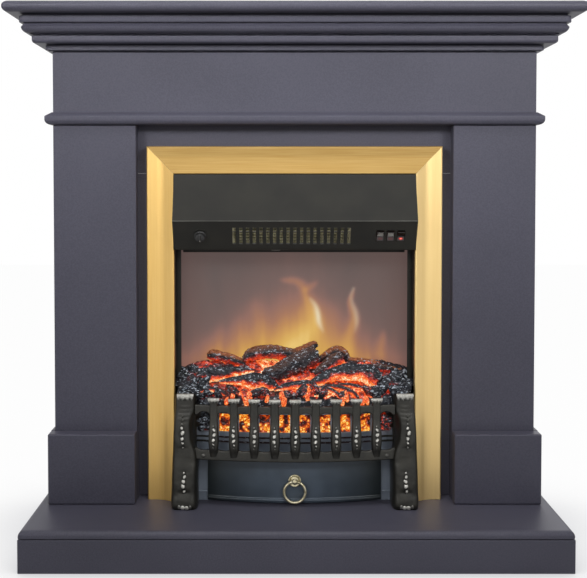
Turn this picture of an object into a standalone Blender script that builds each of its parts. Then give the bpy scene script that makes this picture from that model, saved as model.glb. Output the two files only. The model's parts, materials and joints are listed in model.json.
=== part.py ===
"""Electric fireplace suite: a painted MDF surround on a hearth, with an inset log-effect fire.

Units are metres. +Z is up, the front faces -Y and the hearth stands on z = 0.
"""

import math

import bmesh
import bpy
from mathutils import Matrix, Vector

# Gap that touching pieces keep, and the running clearance of moving ones
FIT = 0.0003
RUN = 0.0006

# Hearth
HEARTH_WIDTH = 0.864
HEARTH_DEPTH = 0.370
HEARTH_HEIGHT = 0.066
HEARTH_BOARD = 0.0125
HEARTH_NOSE = 0.009
HEARTH_FRAME = 0.018

# Surround body
BODY_WIDTH = 0.8132
BODY_SETBACK = 0.160
RECESS_WIDTH = 0.5348
RECESS_DEPTH = 0.027
PILLAR_HEIGHT = 0.637
SIDE_PANEL = 0.015
BACK_PANEL = 0.015
BOARD_EDGE = 0.0012
REAR_RAIL_HEIGHT = 0.080
PLINTH_HEIGHT = 0.119
PLINTH_FRONT = 0.027
PLINTH_SIDE = 0.007
PLINTH_EDGE = 0.0025

# Belt, frieze, stepped crown and mantel shelf
BELT_HEIGHT = 0.021
BELT_PROUD = 0.012
FRIEZE_HEIGHT = 0.102
FILLET_HEIGHT = 0.0105
FILLET_PROUD = 0.0103
ROUND_HEIGHT = 0.0135
ROUND_PROUD = 0.0289
ROUND_RADIUS = 0.005
COVE_HEIGHT = 0.032
COVE_FOOT_PROUD = 0.0324
COVE_PROUD = 0.0457
COVE_STEP = 0.0028
SHELF_THICKNESS = 0.018
SHELF_PROUD = 0.0684

# Pressed trim round the fire
TRIM_WIDTH = 0.500
TRIM_HEIGHT = 0.6013
TRIM_MEMBER = 0.0475
TRIM_BAND = 0.021
TRIM_LIP = 0.002
TRIM_RETURN = 0.025
TRIM_PROUD = 0.016
TRIM_INNER_RETURN = 0.017
TRIM_WALL = 0.0012

# Sheet-steel casing behind the trim
SHEET = 0.0015
CASING_DEPTH = 0.138
CASING_FLANGE = 0.020
LIP_GAP = 0.0015
OPENING_CLEARANCE = 0.0009
SCREEN_SETBACK = 0.0365
SCREEN_STRIP = 0.0100
SCREEN_THICKNESS = 0.003
SCREEN_FOOT = 0.236

# Heater canopy and its slanted outlet face
HOOD_NOSE_DROP = 0.0775
HOOD_NOSE_PROUD = 0.048
HOOD_FOOT_DROP = 0.1265
HOOD_FOOT_PROUD = 0.020
GRILLE_SHEET = 0.002
GRILLE_SLOTS = 18
GRILLE_PITCH = 0.0112
GRILLE_SLOT_WIDTH = 0.0056
GRILLE_SLOT_HEIGHT = 0.031
GRILLE_CENTRE_X = -0.0057
ROCKER_X = 0.1585
ROCKER_PITCH = 0.0171
ROCKER_WIDTH = 0.0118
ROCKER_LENGTH = 0.019
ROCKER_TILT = 8.0
ROCKER_CLEARANCE = 0.0010
KNOB_X = -0.157
KNOB_RADIUS = 0.0098
KNOB_HEIGHT = 0.0085
SPINDLE_RADIUS = 0.003
HEATER_DEPTH = 0.018
HEATER_HEIGHT = 0.044
HEATER_FINS = 7
BLOWER_LENGTH = 0.204
BLOWER_SIZE = 0.058
BLOWER_WALL = 0.003
IMPELLER_RADIUS = 0.0215
IMPELLER_VANES = 18
SHAFT_RADIUS = 0.0025
MOTOR_RADIUS = 0.021
MOTOR_LENGTH = 0.034

# Flame effect behind the screen
SPINNER_RADIUS = 0.020
SPINNER_VANES = 6
SPINNER_BACK = 0.040
SPINNER_HEIGHT = 0.218
SPINNER_MOTOR = 0.030
LAMP_X = 0.095
LAMP_RADIUS = 0.015
LAMP_HEIGHT = 0.105
LAMP_BACK = 0.045

# Fuel bed
BED_FOOT = 0.2265
BED_TOP = 0.240
BED_FRONT = 0.024
MOUND_HEIGHT = 0.044
MOUND_INSET = 0.004
MOUND_TOE = 0.010
MOUND_SHOULDER = 0.035
MOUND_CREST = 0.026
RIDGE_TOE = 0.009
RIDGE_CREST = 0.014

# Each log: two ends as (x, distance from the bed's back edge, height above the tray), two radii
LOGS = (
    ((-0.128, 0.022, 0.052), (0.015, 0.024, 0.062), 0.012, 0.014),
    ((-0.044, 0.062, 0.029), (0.038, 0.030, 0.079), 0.015, 0.011),
    ((0.000, 0.036, 0.033), (0.088, 0.024, 0.070), 0.011, 0.010),
    ((0.078, 0.018, 0.042), (0.172, 0.020, 0.036), 0.013, 0.010),
    ((0.016, 0.078, 0.027), (0.146, 0.064, 0.043), 0.015, 0.018),
    ((-0.164, 0.058, 0.034), (-0.064, 0.066, 0.039), 0.013, 0.015),
)

# Cast grate
GRATE_POST = 0.045
GRATE_POST_HEIGHT = 0.192
GRATE_POST_FRONT = 0.060
GRATE_POST_WAIST = 0.008
GRATE_POST_CORNER = 0.005
GRATE_BARS = 9
GRATE_PITCH = 0.0335
GRATE_BAR_HALF = 0.0078
GRATE_BAR_TOP = 0.186
GRATE_BOW = 0.020
GRATE_RAIL_FRONT = 0.047
GRATE_RAIL_COLUMNS = 16
GRATE_RAIL_THICKNESS = 0.007
LOWER_RAIL_FOOT = 0.0815
LOWER_RAIL_HEIGHT = 0.0165
UPPER_RAIL_FOOT = 0.161
UPPER_RAIL_HEIGHT = 0.012

# Bowed plates in the grate
EMBER_PANEL_FRONT = 0.020
EMBER_PANEL_THICKNESS = 0.003
EMBER_WINDOW_WIDTH = 0.0175
EMBER_WINDOW_FOOT = 0.124
EMBER_WINDOW_HEIGHT = 0.030
VENT_SLOT_HEIGHT = 0.0035
COVER_HALF_WIDTH = 0.147
COVER_FRONT = 0.0045
COVER_BOW = 0.020
COVER_THICKNESS = 0.0025
COVER_FOOT = 0.002
COVER_PIN_RADIUS = 0.003
COVER_PIN_X = 0.100
COVER_PIN_HEIGHT = 0.062
COVER_TRAVEL = 0.030
RING_HEIGHT = 0.040
RING_RADIUS = 0.0178
RING_WIRE = 0.0017
ROSETTE_RADIUS = 0.011
ROSETTE_THICKNESS = 0.003
ROSETTE_BALL = 0.0052

# Rear of the casing
REAR_VENT_ROWS = 5
REAR_VENT_LENGTH = 0.090
REAR_VENT_HEIGHT = 0.006
REAR_VENT_PITCH = 0.014
INLET_X = 0.150
INLET_HEIGHT = 0.060
INLET_RADIUS = 0.011
INLET_LENGTH = 0.014
INLET_BORE = 0.0037

# Heights and planes that follow from the sizes above
FLOOR = HEARTH_HEIGHT + FIT
PILLAR_TOP = HEARTH_HEIGHT + PILLAR_HEIGHT
FRIEZE_FOOT = PILLAR_TOP + BELT_HEIGHT
FRIEZE_TOP = FRIEZE_FOOT + FRIEZE_HEIGHT
HEARTH_FRONT = -HEARTH_DEPTH / 2
BACK = HEARTH_DEPTH / 2
BODY_FRONT = HEARTH_FRONT + BODY_SETBACK
PANEL_FACE = BODY_FRONT + RECESS_DEPTH
TRIM_FACE = PANEL_FACE - TRIM_RETURN
TRIM_NOSE = TRIM_FACE - TRIM_PROUD
TRIM_HALF = TRIM_WIDTH / 2
TRIM_TOP = HEARTH_HEIGHT + TRIM_HEIGHT
FIRE_HALF = TRIM_HALF - TRIM_MEMBER
FIRE_TOP = TRIM_TOP - TRIM_MEMBER
LIP_BACK = TRIM_NOSE + TRIM_INNER_RETURN
CASING_HALF = FIRE_HALF + TRIM_WALL + FIT + SHEET
CASING_INNER = CASING_HALF - SHEET
CASING_FRONT = LIP_BACK + LIP_GAP
CASING_BACK = PANEL_FACE + CASING_DEPTH
OPENING_HALF = CASING_HALF + OPENING_CLEARANCE
OPENING_TOP = FIRE_TOP + SHEET + OPENING_CLEARANCE
SCREEN_Y = PANEL_FACE + SCREEN_SETBACK + SHEET + FIT
POST_INNER = FIRE_HALF - GRATE_POST
RAIL_HALF = POST_INNER + GRATE_POST_WAIST - FIT
HOOD_TOP = FIRE_TOP - FIT
HOOD_HALF = FIRE_HALF - FIT
HOOD_NOSE = (TRIM_FACE - HOOD_NOSE_PROUD, FIRE_TOP - HOOD_NOSE_DROP)
HOOD_FOOT = (TRIM_FACE - HOOD_FOOT_PROUD, FIRE_TOP - HOOD_FOOT_DROP)
HOOD_BACK = PANEL_FACE + SCREEN_SETBACK - FIT

# Colour, roughness and metallic value of each finish
FINISHES = {
    "paint": ((0.125, 0.117, 0.145), 0.45, 0.0),
    "brass": ((0.58, 0.39, 0.10), 0.30, 1.0),
    "old_brass": ((0.46, 0.39, 0.24), 0.35, 1.0),
    "black_steel": ((0.012, 0.012, 0.012), 0.45, 0.0),
    "grey_steel": ((0.075, 0.088, 0.105), 0.40, 0.0),
    "galvanised": ((0.42, 0.43, 0.44), 0.45, 1.0),
    "cast_iron": ((0.020, 0.019, 0.018), 0.50, 0.6),
    "black_plastic": ((0.015, 0.015, 0.015), 0.35, 0.0),
    "screen_glass": ((0.11, 0.09, 0.085), 0.25, 0.0),
    "lamp_glass": ((0.75, 0.74, 0.70), 0.20, 0.0),
    "resin": ((0.10, 0.045, 0.03), 0.70, 0.0),
    "ember": ((0.80, 0.20, 0.02), 0.60, 0.0),
    "mirror_foil": ((0.80, 0.80, 0.82), 0.12, 1.0),
}


def clear_scene():
    """Remove the objects that Blender starts with."""
    for obj in list(bpy.data.objects):
        bpy.data.objects.remove(obj, do_unlink=True)


def new_collection(name):
    collection = bpy.data.collections.new(name)
    bpy.context.scene.collection.children.link(collection)
    return collection


clear_scene()
PARTS = new_collection("electric_fireplace_suite")
CUTTERS = new_collection("cutters")


def file_in(obj, collection):
    """Keep the object in one collection only."""
    for other in list(obj.users_collection):
        other.objects.unlink(obj)
    collection.objects.link(obj)


def part(obj, name, finish):
    """Name the piece, file it and give it a material of its own."""
    obj.name = name
    obj.data.name = name
    file_in(obj, PARTS)
    colour, roughness, metallic = FINISHES[finish]
    material = bpy.data.materials.new(f"{name}_{finish}")
    material.use_nodes = True
    shader = material.node_tree.nodes["Principled BSDF"]
    shader.inputs["Base Color"].default_value = (*colour, 1.0)
    shader.inputs["Roughness"].default_value = roughness
    shader.inputs["Metallic"].default_value = metallic
    obj.data.materials.clear()
    obj.data.materials.append(material)
    return obj


def tool(obj, name):
    """File an object that only cuts or joins others."""
    obj.name = name
    file_in(obj, CUTTERS)
    obj.hide_render = True
    obj.display_type = "WIRE"
    return obj


def apply_boolean(target, other, operation="DIFFERENCE"):
    modifier = target.modifiers.new(f"{operation.lower()}_{other.name}", "BOOLEAN")
    modifier.operation = operation
    modifier.object = other
    modifier.solver = "EXACT"


def soften(obj, width, segments=2):
    """Round every sharp edge of a board or casting."""
    modifier = obj.modifiers.new("soft_edges", "BEVEL")
    modifier.width = width
    modifier.segments = segments
    modifier.limit_method = "ANGLE"


def cube(low, high):
    """Cube primitive stretched between two corners, with its origin in the middle."""
    low, high = Vector(low), Vector(high)
    bpy.ops.mesh.primitive_cube_add(size=1)
    obj = bpy.context.object
    obj.data.transform(Matrix.Diagonal((*(high - low), 1)))
    obj.location = (low + high) / 2
    return obj


def board(name, low, high, finish="paint", edge=BOARD_EDGE):
    """Board or plate with slightly rounded edges."""
    obj = part(cube(low, high), name, finish)
    if edge:
        soften(obj, edge)
    return obj


def box_cutters(name, boxes):
    """One tool made of separate boxes, each given by its two corners."""
    bm = bmesh.new()
    for low, high in boxes:
        low, high = Vector(low), Vector(high)
        size = Matrix.Diagonal((*(high - low), 1))
        bmesh.ops.create_cube(bm, size=1, matrix=Matrix.Translation((low + high) / 2) @ size)
    return tool(object_from(bm), name)


def rod(start, end, radius_start, radius_end=None, segments=24):
    """Cone primitive between two points."""
    start, end = Vector(start), Vector(end)
    bpy.ops.mesh.primitive_cone_add(
        vertices=segments,
        radius1=radius_start,
        radius2=radius_start if radius_end is None else radius_end,
        depth=(end - start).length,
    )
    obj = bpy.context.object
    obj.data.transform((end - start).to_track_quat("Z", "Y").to_matrix().to_4x4())
    obj.location = (start + end) / 2
    return obj


def object_from(bm):
    mesh = bpy.data.meshes.new("shape")
    bm.to_mesh(mesh)
    bm.free()
    obj = bpy.data.objects.new("shape", mesh)
    bpy.context.scene.collection.objects.link(obj)
    return obj


def add_loft(bm, rings):
    """Join equal rings of points one to the next and close both ends."""
    loops = [[bm.verts.new(point) for point in ring] for ring in rings]
    count = len(loops[0])
    for lower, upper in zip(loops, loops[1:]):
        for i in range(count):
            j = (i + 1) % count
            bm.faces.new((lower[i], lower[j], upper[j], upper[i]))
    bm.faces.new(list(reversed(loops[0])))
    bm.faces.new(loops[-1])


def loft(rings):
    bm = bmesh.new()
    add_loft(bm, rings)
    bmesh.ops.recalc_face_normals(bm, faces=bm.faces)
    return object_from(bm)


def turned(profile, segments=32):
    """Screw an (radius, height) profile, listed from the top down, round the Z axis."""
    mesh = bpy.data.meshes.new("profile")
    points = [(radius, 0, height) for radius, height in profile]
    mesh.from_pydata(points, [(i, i + 1) for i in range(len(points) - 1)], [])
    obj = bpy.data.objects.new("profile", mesh)
    bpy.context.scene.collection.objects.link(obj)
    screw = obj.modifiers.new("turn", "SCREW")
    screw.steps = segments
    screw.render_steps = segments
    screw.use_merge_vertices = True
    screw.merge_threshold = 0.00001
    return obj


def arc(centre, radius, start, end, steps):
    """Points of an arc from one angle to another, in degrees."""
    angles = [math.radians(start + (end - start) * i / steps) for i in range(steps + 1)]
    return [(centre[0] + radius * math.cos(a), centre[1] + radius * math.sin(a)) for a in angles]


def wall_outline(path, wall):
    """Closed outline of a bent sheet whose outer face follows the path, its wall on the left."""
    inner = []
    for i, point in enumerate(path):
        here = Vector(point)
        before = (here - Vector(path[i - 1])).normalized() if i else None
        after = (Vector(path[i + 1]) - here).normalized() if i < len(path) - 1 else None
        first = before or after
        last = after or before
        normal = Vector((-first.y - last.y, first.x + last.x)).normalized()
        stretch = normal.dot(Vector((-first.y, first.x)))
        inner.append(tuple(here + normal * wall / stretch))
    return list(path) + inner[::-1]


def stepped_slab(name, profile, half_width, front, back=BACK):
    """Slab whose front and sides follow a (proud, z) profile, listed from the foot up."""
    rings = [
        [
            (-half_width - proud, front - proud, z),
            (half_width + proud, front - proud, z),
            (half_width + proud, back, z),
            (-half_width - proud, back, z),
        ]
        for proud, z in profile
    ]
    return part(loft(rings), name, "paint")


def bow(x, half_width, sagitta):
    """How far a plate bowed forward by the sagitta stands out at x."""
    radius = (half_width**2 + sagitta**2) / (2 * sagitta)
    return math.sqrt(radius**2 - x**2) - (radius - sagitta)


def bowed_plate(half_width, foot, top, side_y, sagitta, thickness, columns=16):
    """Grid bent forward in the middle, with a wall behind it."""
    bm = bmesh.new()
    stand = Matrix.Translation((0, side_y, (foot + top) / 2)) @ Matrix.Rotation(math.pi / 2, 4, "X")
    bmesh.ops.create_grid(bm, x_segments=columns, y_segments=1, size=1, matrix=stand)
    for vertex in bm.verts:
        x = vertex.co.x * half_width
        z = top if vertex.co.z > (foot + top) / 2 else foot
        vertex.co = (x, side_y - bow(x, half_width, sagitta), z)
    obj = object_from(bm)
    wall = obj.modifiers.new("wall", "SOLIDIFY")
    wall.thickness = thickness
    wall.offset = -1
    return obj


def bowed_rail(low, high, side_y):
    """Cast rail bowed like a plate, with square ends that meet the posts."""
    rings = []
    for i in range(GRATE_RAIL_COLUMNS + 1):
        x = RAIL_HALF * (2 * i / GRATE_RAIL_COLUMNS - 1)
        front = side_y - bow(x, RAIL_HALF, GRATE_BOW)
        back = front + GRATE_RAIL_THICKNESS
        rings.append([(x, front, low), (x, back, low), (x, back, high), (x, front, high)])
    return loft(rings)


def both_sides():
    """Name and sign of each side as the viewer sees it."""
    return (("left", -1), ("right", 1))


def span(side, inner, outer):
    """Low and high x of a piece between two distances from the middle."""
    return (inner, outer) if side > 0 else (-outer, -inner)


def make_hearth():
    half = HEARTH_WIDTH / 2
    under = HEARTH_HEIGHT - HEARTH_BOARD
    nose = arc((-HEARTH_NOSE, HEARTH_HEIGHT - HEARTH_NOSE), HEARTH_NOSE, 0, 90, 4)
    stepped_slab("hearth_board", [(-BOARD_EDGE, under), (0, under + BOARD_EDGE), *nose], half, HEARTH_FRONT)
    frame_top = under - FIT
    inside = HEARTH_FRONT + HEARTH_FRAME + FIT
    board("hearth_fascia", (-half, HEARTH_FRONT, 0), (half, inside - FIT, frame_top))
    for name, side in both_sides():
        x0, x1 = span(side, half - HEARTH_FRAME, half)
        board(f"hearth_side_{name}", (x0, inside, 0), (x1, BACK, frame_top))
    rail = half - HEARTH_FRAME - FIT
    board("hearth_back_rail", (-rail, BACK - HEARTH_FRAME, 0), (rail, BACK, frame_top))


def make_pillars_and_plinths():
    half = BODY_WIDTH / 2
    recess = RECESS_WIDTH / 2
    for name, side in both_sides():
        x0, x1 = span(side, recess, half)
        board(f"pillar_{name}", (x0, BODY_FRONT, FLOOR), (x1, PANEL_FACE - FIT, PILLAR_TOP - FIT))
        x0, x1 = span(side, half - SIDE_PANEL, half)
        board(f"side_panel_{name}", (x0, PANEL_FACE, FLOOR), (x1, BACK, FRIEZE_TOP - FIT))
        x0, x1 = span(side, recess, half + PLINTH_SIDE)
        top = HEARTH_HEIGHT + PLINTH_HEIGHT
        low = (x0, BODY_FRONT - PLINTH_FRONT, FLOOR)
        board(f"plinth_front_{name}", low, (x1, BODY_FRONT - FIT, top), edge=PLINTH_EDGE)
        x0, x1 = span(side, half + FIT, half + PLINTH_SIDE)
        board(f"plinth_side_{name}", (x0, BODY_FRONT, FLOOR), (x1, BACK, top))


def make_back_panel():
    """Boards that carry the fire: a stile each side of the opening and a header above it."""
    inner = BODY_WIDTH / 2 - SIDE_PANEL - FIT
    back = PANEL_FACE + BACK_PANEL
    for name, side in both_sides():
        x0, x1 = span(side, OPENING_HALF, inner)
        board(f"stile_{name}", (x0, PANEL_FACE, FLOOR), (x1, back, OPENING_TOP - FIT))
    board("header_panel", (-inner, PANEL_FACE, OPENING_TOP), (inner, back, FRIEZE_TOP - FIT))
    low = (-inner, BACK - BACK_PANEL, FRIEZE_TOP - REAR_RAIL_HEIGHT)
    board("rear_rail", low, (inner, BACK, FRIEZE_TOP - FIT))


def make_frieze_and_belt():
    half = BODY_WIDTH / 2
    board("frieze_board", (-half, BODY_FRONT, PILLAR_TOP), (half, PANEL_FACE - FIT, FRIEZE_TOP - FIT))
    round_radius = BELT_HEIGHT * 0.42
    middle = PILLAR_TOP + round_radius
    nose = arc((BELT_PROUD - round_radius, middle), round_radius, -90, 60, 6)
    section = [(FIT, PILLAR_TOP), *nose, (BELT_PROUD * 0.55, FRIEZE_FOOT), (FIT, FRIEZE_FOOT)]
    front = [
        [(side * (half + p), BODY_FRONT - p, z) for p, z in section] for _, side in both_sides()
    ]
    part(loft(front), "belt_front", "paint")
    for name, side in both_sides():
        mitre = [(side * (half + p), BODY_FRONT - p + FIT, z) for p, z in section]
        square = [(side * (half + p), BACK, z) for p, z in section]
        part(loft([mitre, square]), f"belt_{name}", "paint")


def make_crown_and_shelf():
    half = BODY_WIDTH / 2
    foot = FRIEZE_TOP
    top = foot + FILLET_HEIGHT
    stepped_slab("crown_fillet", [(FILLET_PROUD, foot), (FILLET_PROUD, top - FIT)], half, BODY_FRONT)
    foot, top = top, top + ROUND_HEIGHT
    lower = arc((ROUND_PROUD - ROUND_RADIUS, foot + ROUND_RADIUS), ROUND_RADIUS, -90, 0, 4)
    stepped_slab("crown_round", [*lower, (ROUND_PROUD, top - FIT)], half, BODY_FRONT)
    foot, top = top, top + COVE_HEIGHT
    step_foot = foot + COVE_HEIGHT * 0.56
    cove_top = foot + COVE_HEIGHT * 0.31
    cove = [
        (COVE_FOOT_PROUD, foot),
        (COVE_FOOT_PROUD, foot + COVE_HEIGHT * 0.06),
        (COVE_PROUD - COVE_STEP, cove_top),
        (COVE_PROUD - COVE_STEP, step_foot),
        (COVE_PROUD, step_foot + FIT),
        (COVE_PROUD, top - FIT),
    ]
    stepped_slab("crown_cove", cove, half, BODY_FRONT)
    foot, top = top, top + SHELF_THICKNESS
    radius = SHELF_THICKNESS / 2
    nose = arc((SHELF_PROUD - radius, foot + radius), radius, -90, 90, 8)
    stepped_slab("mantel_shelf", nose, half, BODY_FRONT)


def trim_section():
    """(inward, y) outline of the trim: outer return, flat band, cove and inner lip."""
    cove_end = TRIM_MEMBER - TRIM_LIP
    run = cove_end - TRIM_BAND
    radius = (run**2 + TRIM_PROUD**2) / (2 * TRIM_PROUD)
    sweep = math.degrees(math.asin(run / radius))
    cove = arc((TRIM_BAND, TRIM_FACE - radius), radius, 90, 90 - sweep, 7)
    path = [
        (0, PANEL_FACE - FIT),
        (0, TRIM_FACE),
        *cove,
        (TRIM_MEMBER, TRIM_NOSE),
        (TRIM_MEMBER, LIP_BACK),
    ]
    return wall_outline(path, TRIM_WALL)


def make_trim():
    section = trim_section()
    for name, side in both_sides():
        foot = [(side * (TRIM_HALF - u), y, FLOOR) for u, y in section]
        mitre = [(side * (TRIM_HALF - u), y, TRIM_TOP - u - FIT) for u, y in section]
        part(loft([foot, mitre]), f"trim_{name}", "brass")
    ends = [[(side * (TRIM_HALF - u), y, TRIM_TOP - u) for u, y in section] for _, side in both_sides()]
    part(loft(ends), "trim_top", "brass")


def make_casing():
    top = FIRE_TOP
    flange_front = PANEL_FACE - FIT - SHEET
    strip_front = PANEL_FACE + SCREEN_SETBACK
    back = CASING_BACK - FIT
    plan = [
        (CASING_INNER, CASING_FRONT),
        (CASING_HALF, CASING_FRONT),
        (CASING_HALF, flange_front),
        (CASING_HALF + CASING_FLANGE, flange_front),
        (CASING_HALF + CASING_FLANGE, flange_front + SHEET),
        (CASING_HALF, flange_front + SHEET),
        (CASING_HALF, back),
        (CASING_INNER, back),
        (CASING_INNER, strip_front + SHEET),
        (CASING_INNER - SCREEN_STRIP, strip_front + SHEET),
        (CASING_INNER - SCREEN_STRIP, strip_front),
        (CASING_INNER, strip_front),
    ]
    bearing = rod(
        (-CASING_HALF - SHEET, spinner_y(), SPINNER_HEIGHT),
        (-CASING_INNER + SHEET, spinner_y(), SPINNER_HEIGHT),
        SHAFT_RADIUS + FIT,
    )
    tool(bearing, "spinner_bearing_hole")
    for name, side in both_sides():
        rings = [[(side * x, y, z) for x, y in plan] for z in (FLOOR + SHEET + FIT, top - FIT)]
        wall = part(loft(rings), f"casing_side_{name}", "black_steel")
        if side < 0:
            apply_boolean(wall, bearing)
    low = (-CASING_HALF, CASING_FRONT, FLOOR)
    board("casing_floor", low, (CASING_HALF, back, FLOOR + SHEET), "galvanised", edge=0)
    low = (-CASING_HALF, CASING_FRONT, top)
    board("casing_top", low, (CASING_HALF, back, top + SHEET), "galvanised", edge=0)


def make_rear_cover():
    low = (-CASING_HALF, CASING_BACK, FLOOR)
    high = (CASING_HALF, CASING_BACK + SHEET, FIRE_TOP + SHEET)
    cover = board("rear_cover", low, high, "galvanised", edge=0)
    through = (CASING_BACK - SHEET, CASING_BACK + 2 * SHEET)
    first = FIRE_TOP - REAR_VENT_PITCH * (REAR_VENT_ROWS + 1)
    vents = []
    for row in range(REAR_VENT_ROWS):
        z = first + row * REAR_VENT_PITCH
        for centre in (-REAR_VENT_LENGTH * 0.7, REAR_VENT_LENGTH * 0.7):
            half = REAR_VENT_LENGTH / 2
            vents.append(((centre - half, through[0], z), (centre + half, through[1], z + REAR_VENT_HEIGHT)))
    apply_boolean(cover, box_cutters("rear_vents", vents))
    z = HEARTH_HEIGHT + INLET_HEIGHT
    neck = INLET_RADIUS * 0.6
    hole = rod((INLET_X, through[0], z), (INLET_X, through[1], z), neck + FIT)
    apply_boolean(cover, tool(hole, "inlet_hole"))
    make_inlet_gland(z, neck)


def make_inlet_gland(z, neck):
    """Bush where the mains lead enters, with its bore."""
    inside = SHEET * 3
    outer = INLET_RADIUS
    profile = [
        (INLET_BORE, INLET_LENGTH),
        (outer * 0.72, INLET_LENGTH),
        (outer * 0.86, INLET_LENGTH * 0.3),
        (outer, INLET_LENGTH * 0.25),
        (outer, FIT),
        (neck, FIT),
        (neck, -inside),
        (INLET_BORE, -inside),
        (INLET_BORE, INLET_LENGTH),
    ]
    gland = part(turned(profile, 24), "inlet_gland", "black_plastic")
    gland.rotation_euler = (-math.pi / 2, 0, 0)
    gland.location = (INLET_X, CASING_BACK + SHEET, z)


def outlet_frame():
    """Empty on the slanted outlet face: its -Y looks out of the face and its Z runs up it."""
    run = HOOD_FOOT[0] - HOOD_NOSE[0]
    drop = HOOD_NOSE[1] - HOOD_FOOT[1]
    empty = bpy.data.objects.new("outlet_face_frame", None)
    PARTS.objects.link(empty)
    empty.location = (0, (HOOD_FOOT[0] + HOOD_NOSE[0]) / 2, (HOOD_FOOT[1] + HOOD_NOSE[1]) / 2)
    empty.rotation_euler = (math.atan2(run, drop), 0, 0)
    return empty, math.hypot(run, drop)


def make_hood():
    """Pressed canopy: sloping front, flat top, ceiling over the fire and two end cheeks."""
    section = [
        (TRIM_NOSE, HOOD_TOP),
        HOOD_NOSE,
        HOOD_FOOT,
        (HOOD_BACK, HOOD_FOOT[1]),
        (HOOD_BACK, HOOD_TOP),
    ]
    bm = bmesh.new()
    left = [bm.verts.new((-HOOD_HALF, y, z)) for y, z in section]
    right = [bm.verts.new((HOOD_HALF, y, z)) for y, z in section]
    bm.faces.new(left)
    bm.faces.new(list(reversed(right)))
    outlet, rear = 1, 3
    for i in range(len(section)):
        j = (i + 1) % len(section)
        if i not in (outlet, rear):
            bm.faces.new((left[j], left[i], right[i], right[j]))
    bmesh.ops.recalc_face_normals(bm, faces=bm.faces)
    hood = part(object_from(bm), "hood", "black_steel")
    wall = hood.modifiers.new("sheet", "SOLIDIFY")
    wall.thickness = SHEET
    wall.offset = -1
    wall.solidify_mode = "NON_MANIFOLD"
    wall.nonmanifold_thickness_mode = "CONSTRAINTS"


def grille_cut(x, half_width, half_height):
    """Corners of a box that passes through the outlet sheet at x."""
    low = (x - half_width, -GRILLE_SHEET, -half_height)
    high = (x + half_width, 2 * GRILLE_SHEET, half_height)
    return low, high


def make_outlet_grille(frame, face_length):
    half = HOOD_HALF - SHEET - FIT
    reach = face_length / 2 - SHEET * 1.6
    grille = board("outlet_grille", (-half, 0, -reach), (half, GRILLE_SHEET, reach), "black_steel", 0)
    grille.parent = frame
    first = GRILLE_CENTRE_X - GRILLE_PITCH * (GRILLE_SLOTS - 1) / 2
    slot = (GRILLE_SLOT_WIDTH / 2, GRILLE_SLOT_HEIGHT / 2)
    cuts = [grille_cut(first + i * GRILLE_PITCH, *slot) for i in range(GRILLE_SLOTS)]
    rocker = (ROCKER_WIDTH / 2 + ROCKER_CLEARANCE, ROCKER_LENGTH / 2 + ROCKER_CLEARANCE)
    cuts += [grille_cut(ROCKER_X + i * ROCKER_PITCH, *rocker) for i in (-1, 0, 1)]
    cutter = box_cutters("outlet_cuts", cuts)
    hole = rod((KNOB_X, -GRILLE_SHEET, 0), (KNOB_X, 2 * GRILLE_SHEET, 0), SPINDLE_RADIUS + RUN)
    tool(hole, "spindle_hole")
    for cut in (cutter, hole):
        cut.parent = frame
        apply_boolean(grille, cut)


def make_rockers(frame):
    """Three rocker switches, each turning about a pin behind the outlet face."""
    half = ROCKER_LENGTH / 2
    pivot = GRILLE_SHEET * 2
    crest = pivot + half * 0.23
    valley = pivot + half * 0.08
    section = [
        (-crest, -half),
        (-valley, 0),
        (-crest, half),
        (-pivot / 4, half),
        (pivot * 1.2, half / 2),
        (pivot * 1.2, -half / 2),
        (-pivot / 4, -half),
    ]
    for i, name in enumerate(("rocker_low_heat", "rocker_high_heat", "rocker_flame")):
        rings = [[(x, y, z) for y, z in section] for x in (-ROCKER_WIDTH / 2, ROCKER_WIDTH / 2)]
        rocker = part(loft(rings), name, "black_plastic")
        rocker.parent = frame
        rocker.location = (ROCKER_X + (i - 1) * ROCKER_PITCH, pivot, 0)
        rocker.rotation_euler = (math.radians(ROCKER_TILT), 0, 0)


def make_knob(frame):
    skirt = KNOB_HEIGHT * 0.3
    profile = [
        (0, KNOB_HEIGHT),
        (KNOB_RADIUS * 0.78, KNOB_HEIGHT),
        (KNOB_RADIUS * 0.86, KNOB_HEIGHT * 0.88),
        (KNOB_RADIUS * 0.9, skirt),
        (KNOB_RADIUS, skirt),
        (KNOB_RADIUS, FIT),
        (SPINDLE_RADIUS, FIT),
        (SPINDLE_RADIUS, -GRILLE_SHEET * 3),
        (0, -GRILLE_SHEET * 3),
    ]
    knob = part(turned(profile), "thermostat_knob", "black_plastic")
    knob.parent = frame
    knob.rotation_euler = (math.pi / 2, 0, 0)
    knob.location = (KNOB_X, 0, 0)
    bar = KNOB_RADIUS * 0.16
    grip = box_cutters("knob_grip", [((-bar, 0, skirt), (bar, KNOB_RADIUS * 0.84, KNOB_HEIGHT * 1.25))])
    grip.parent = knob
    apply_boolean(knob, grip, "UNION")


def make_heater(frame):
    """Finned heating block behind the outlet slots."""
    half = BLOWER_LENGTH / 2
    near = GRILLE_SHEET + FIT
    far = near + HEATER_DEPTH
    low = (GRILLE_CENTRE_X - half, near, -HEATER_HEIGHT / 2)
    heater = board("heater_block", low, (GRILLE_CENTRE_X + half, far, HEATER_HEIGHT / 2), "galvanised", 0)
    heater.parent = frame
    pitch = HEATER_HEIGHT * 0.86 / HEATER_FINS
    rows = []
    for i in range(HEATER_FINS):
        z = (i - (HEATER_FINS - 1) / 2) * pitch
        for x0, x1 in ((-0.94, -0.03), (0.03, 0.94)):
            low = (GRILLE_CENTRE_X + x0 * half, near - SHEET, z - pitch * 0.35)
            rows.append((low, (GRILLE_CENTRE_X + x1 * half, far + SHEET, z + pitch * 0.35)))
    gaps = box_cutters("heater_gaps", rows)
    gaps.parent = frame
    apply_boolean(heater, gaps)
    return far


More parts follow.
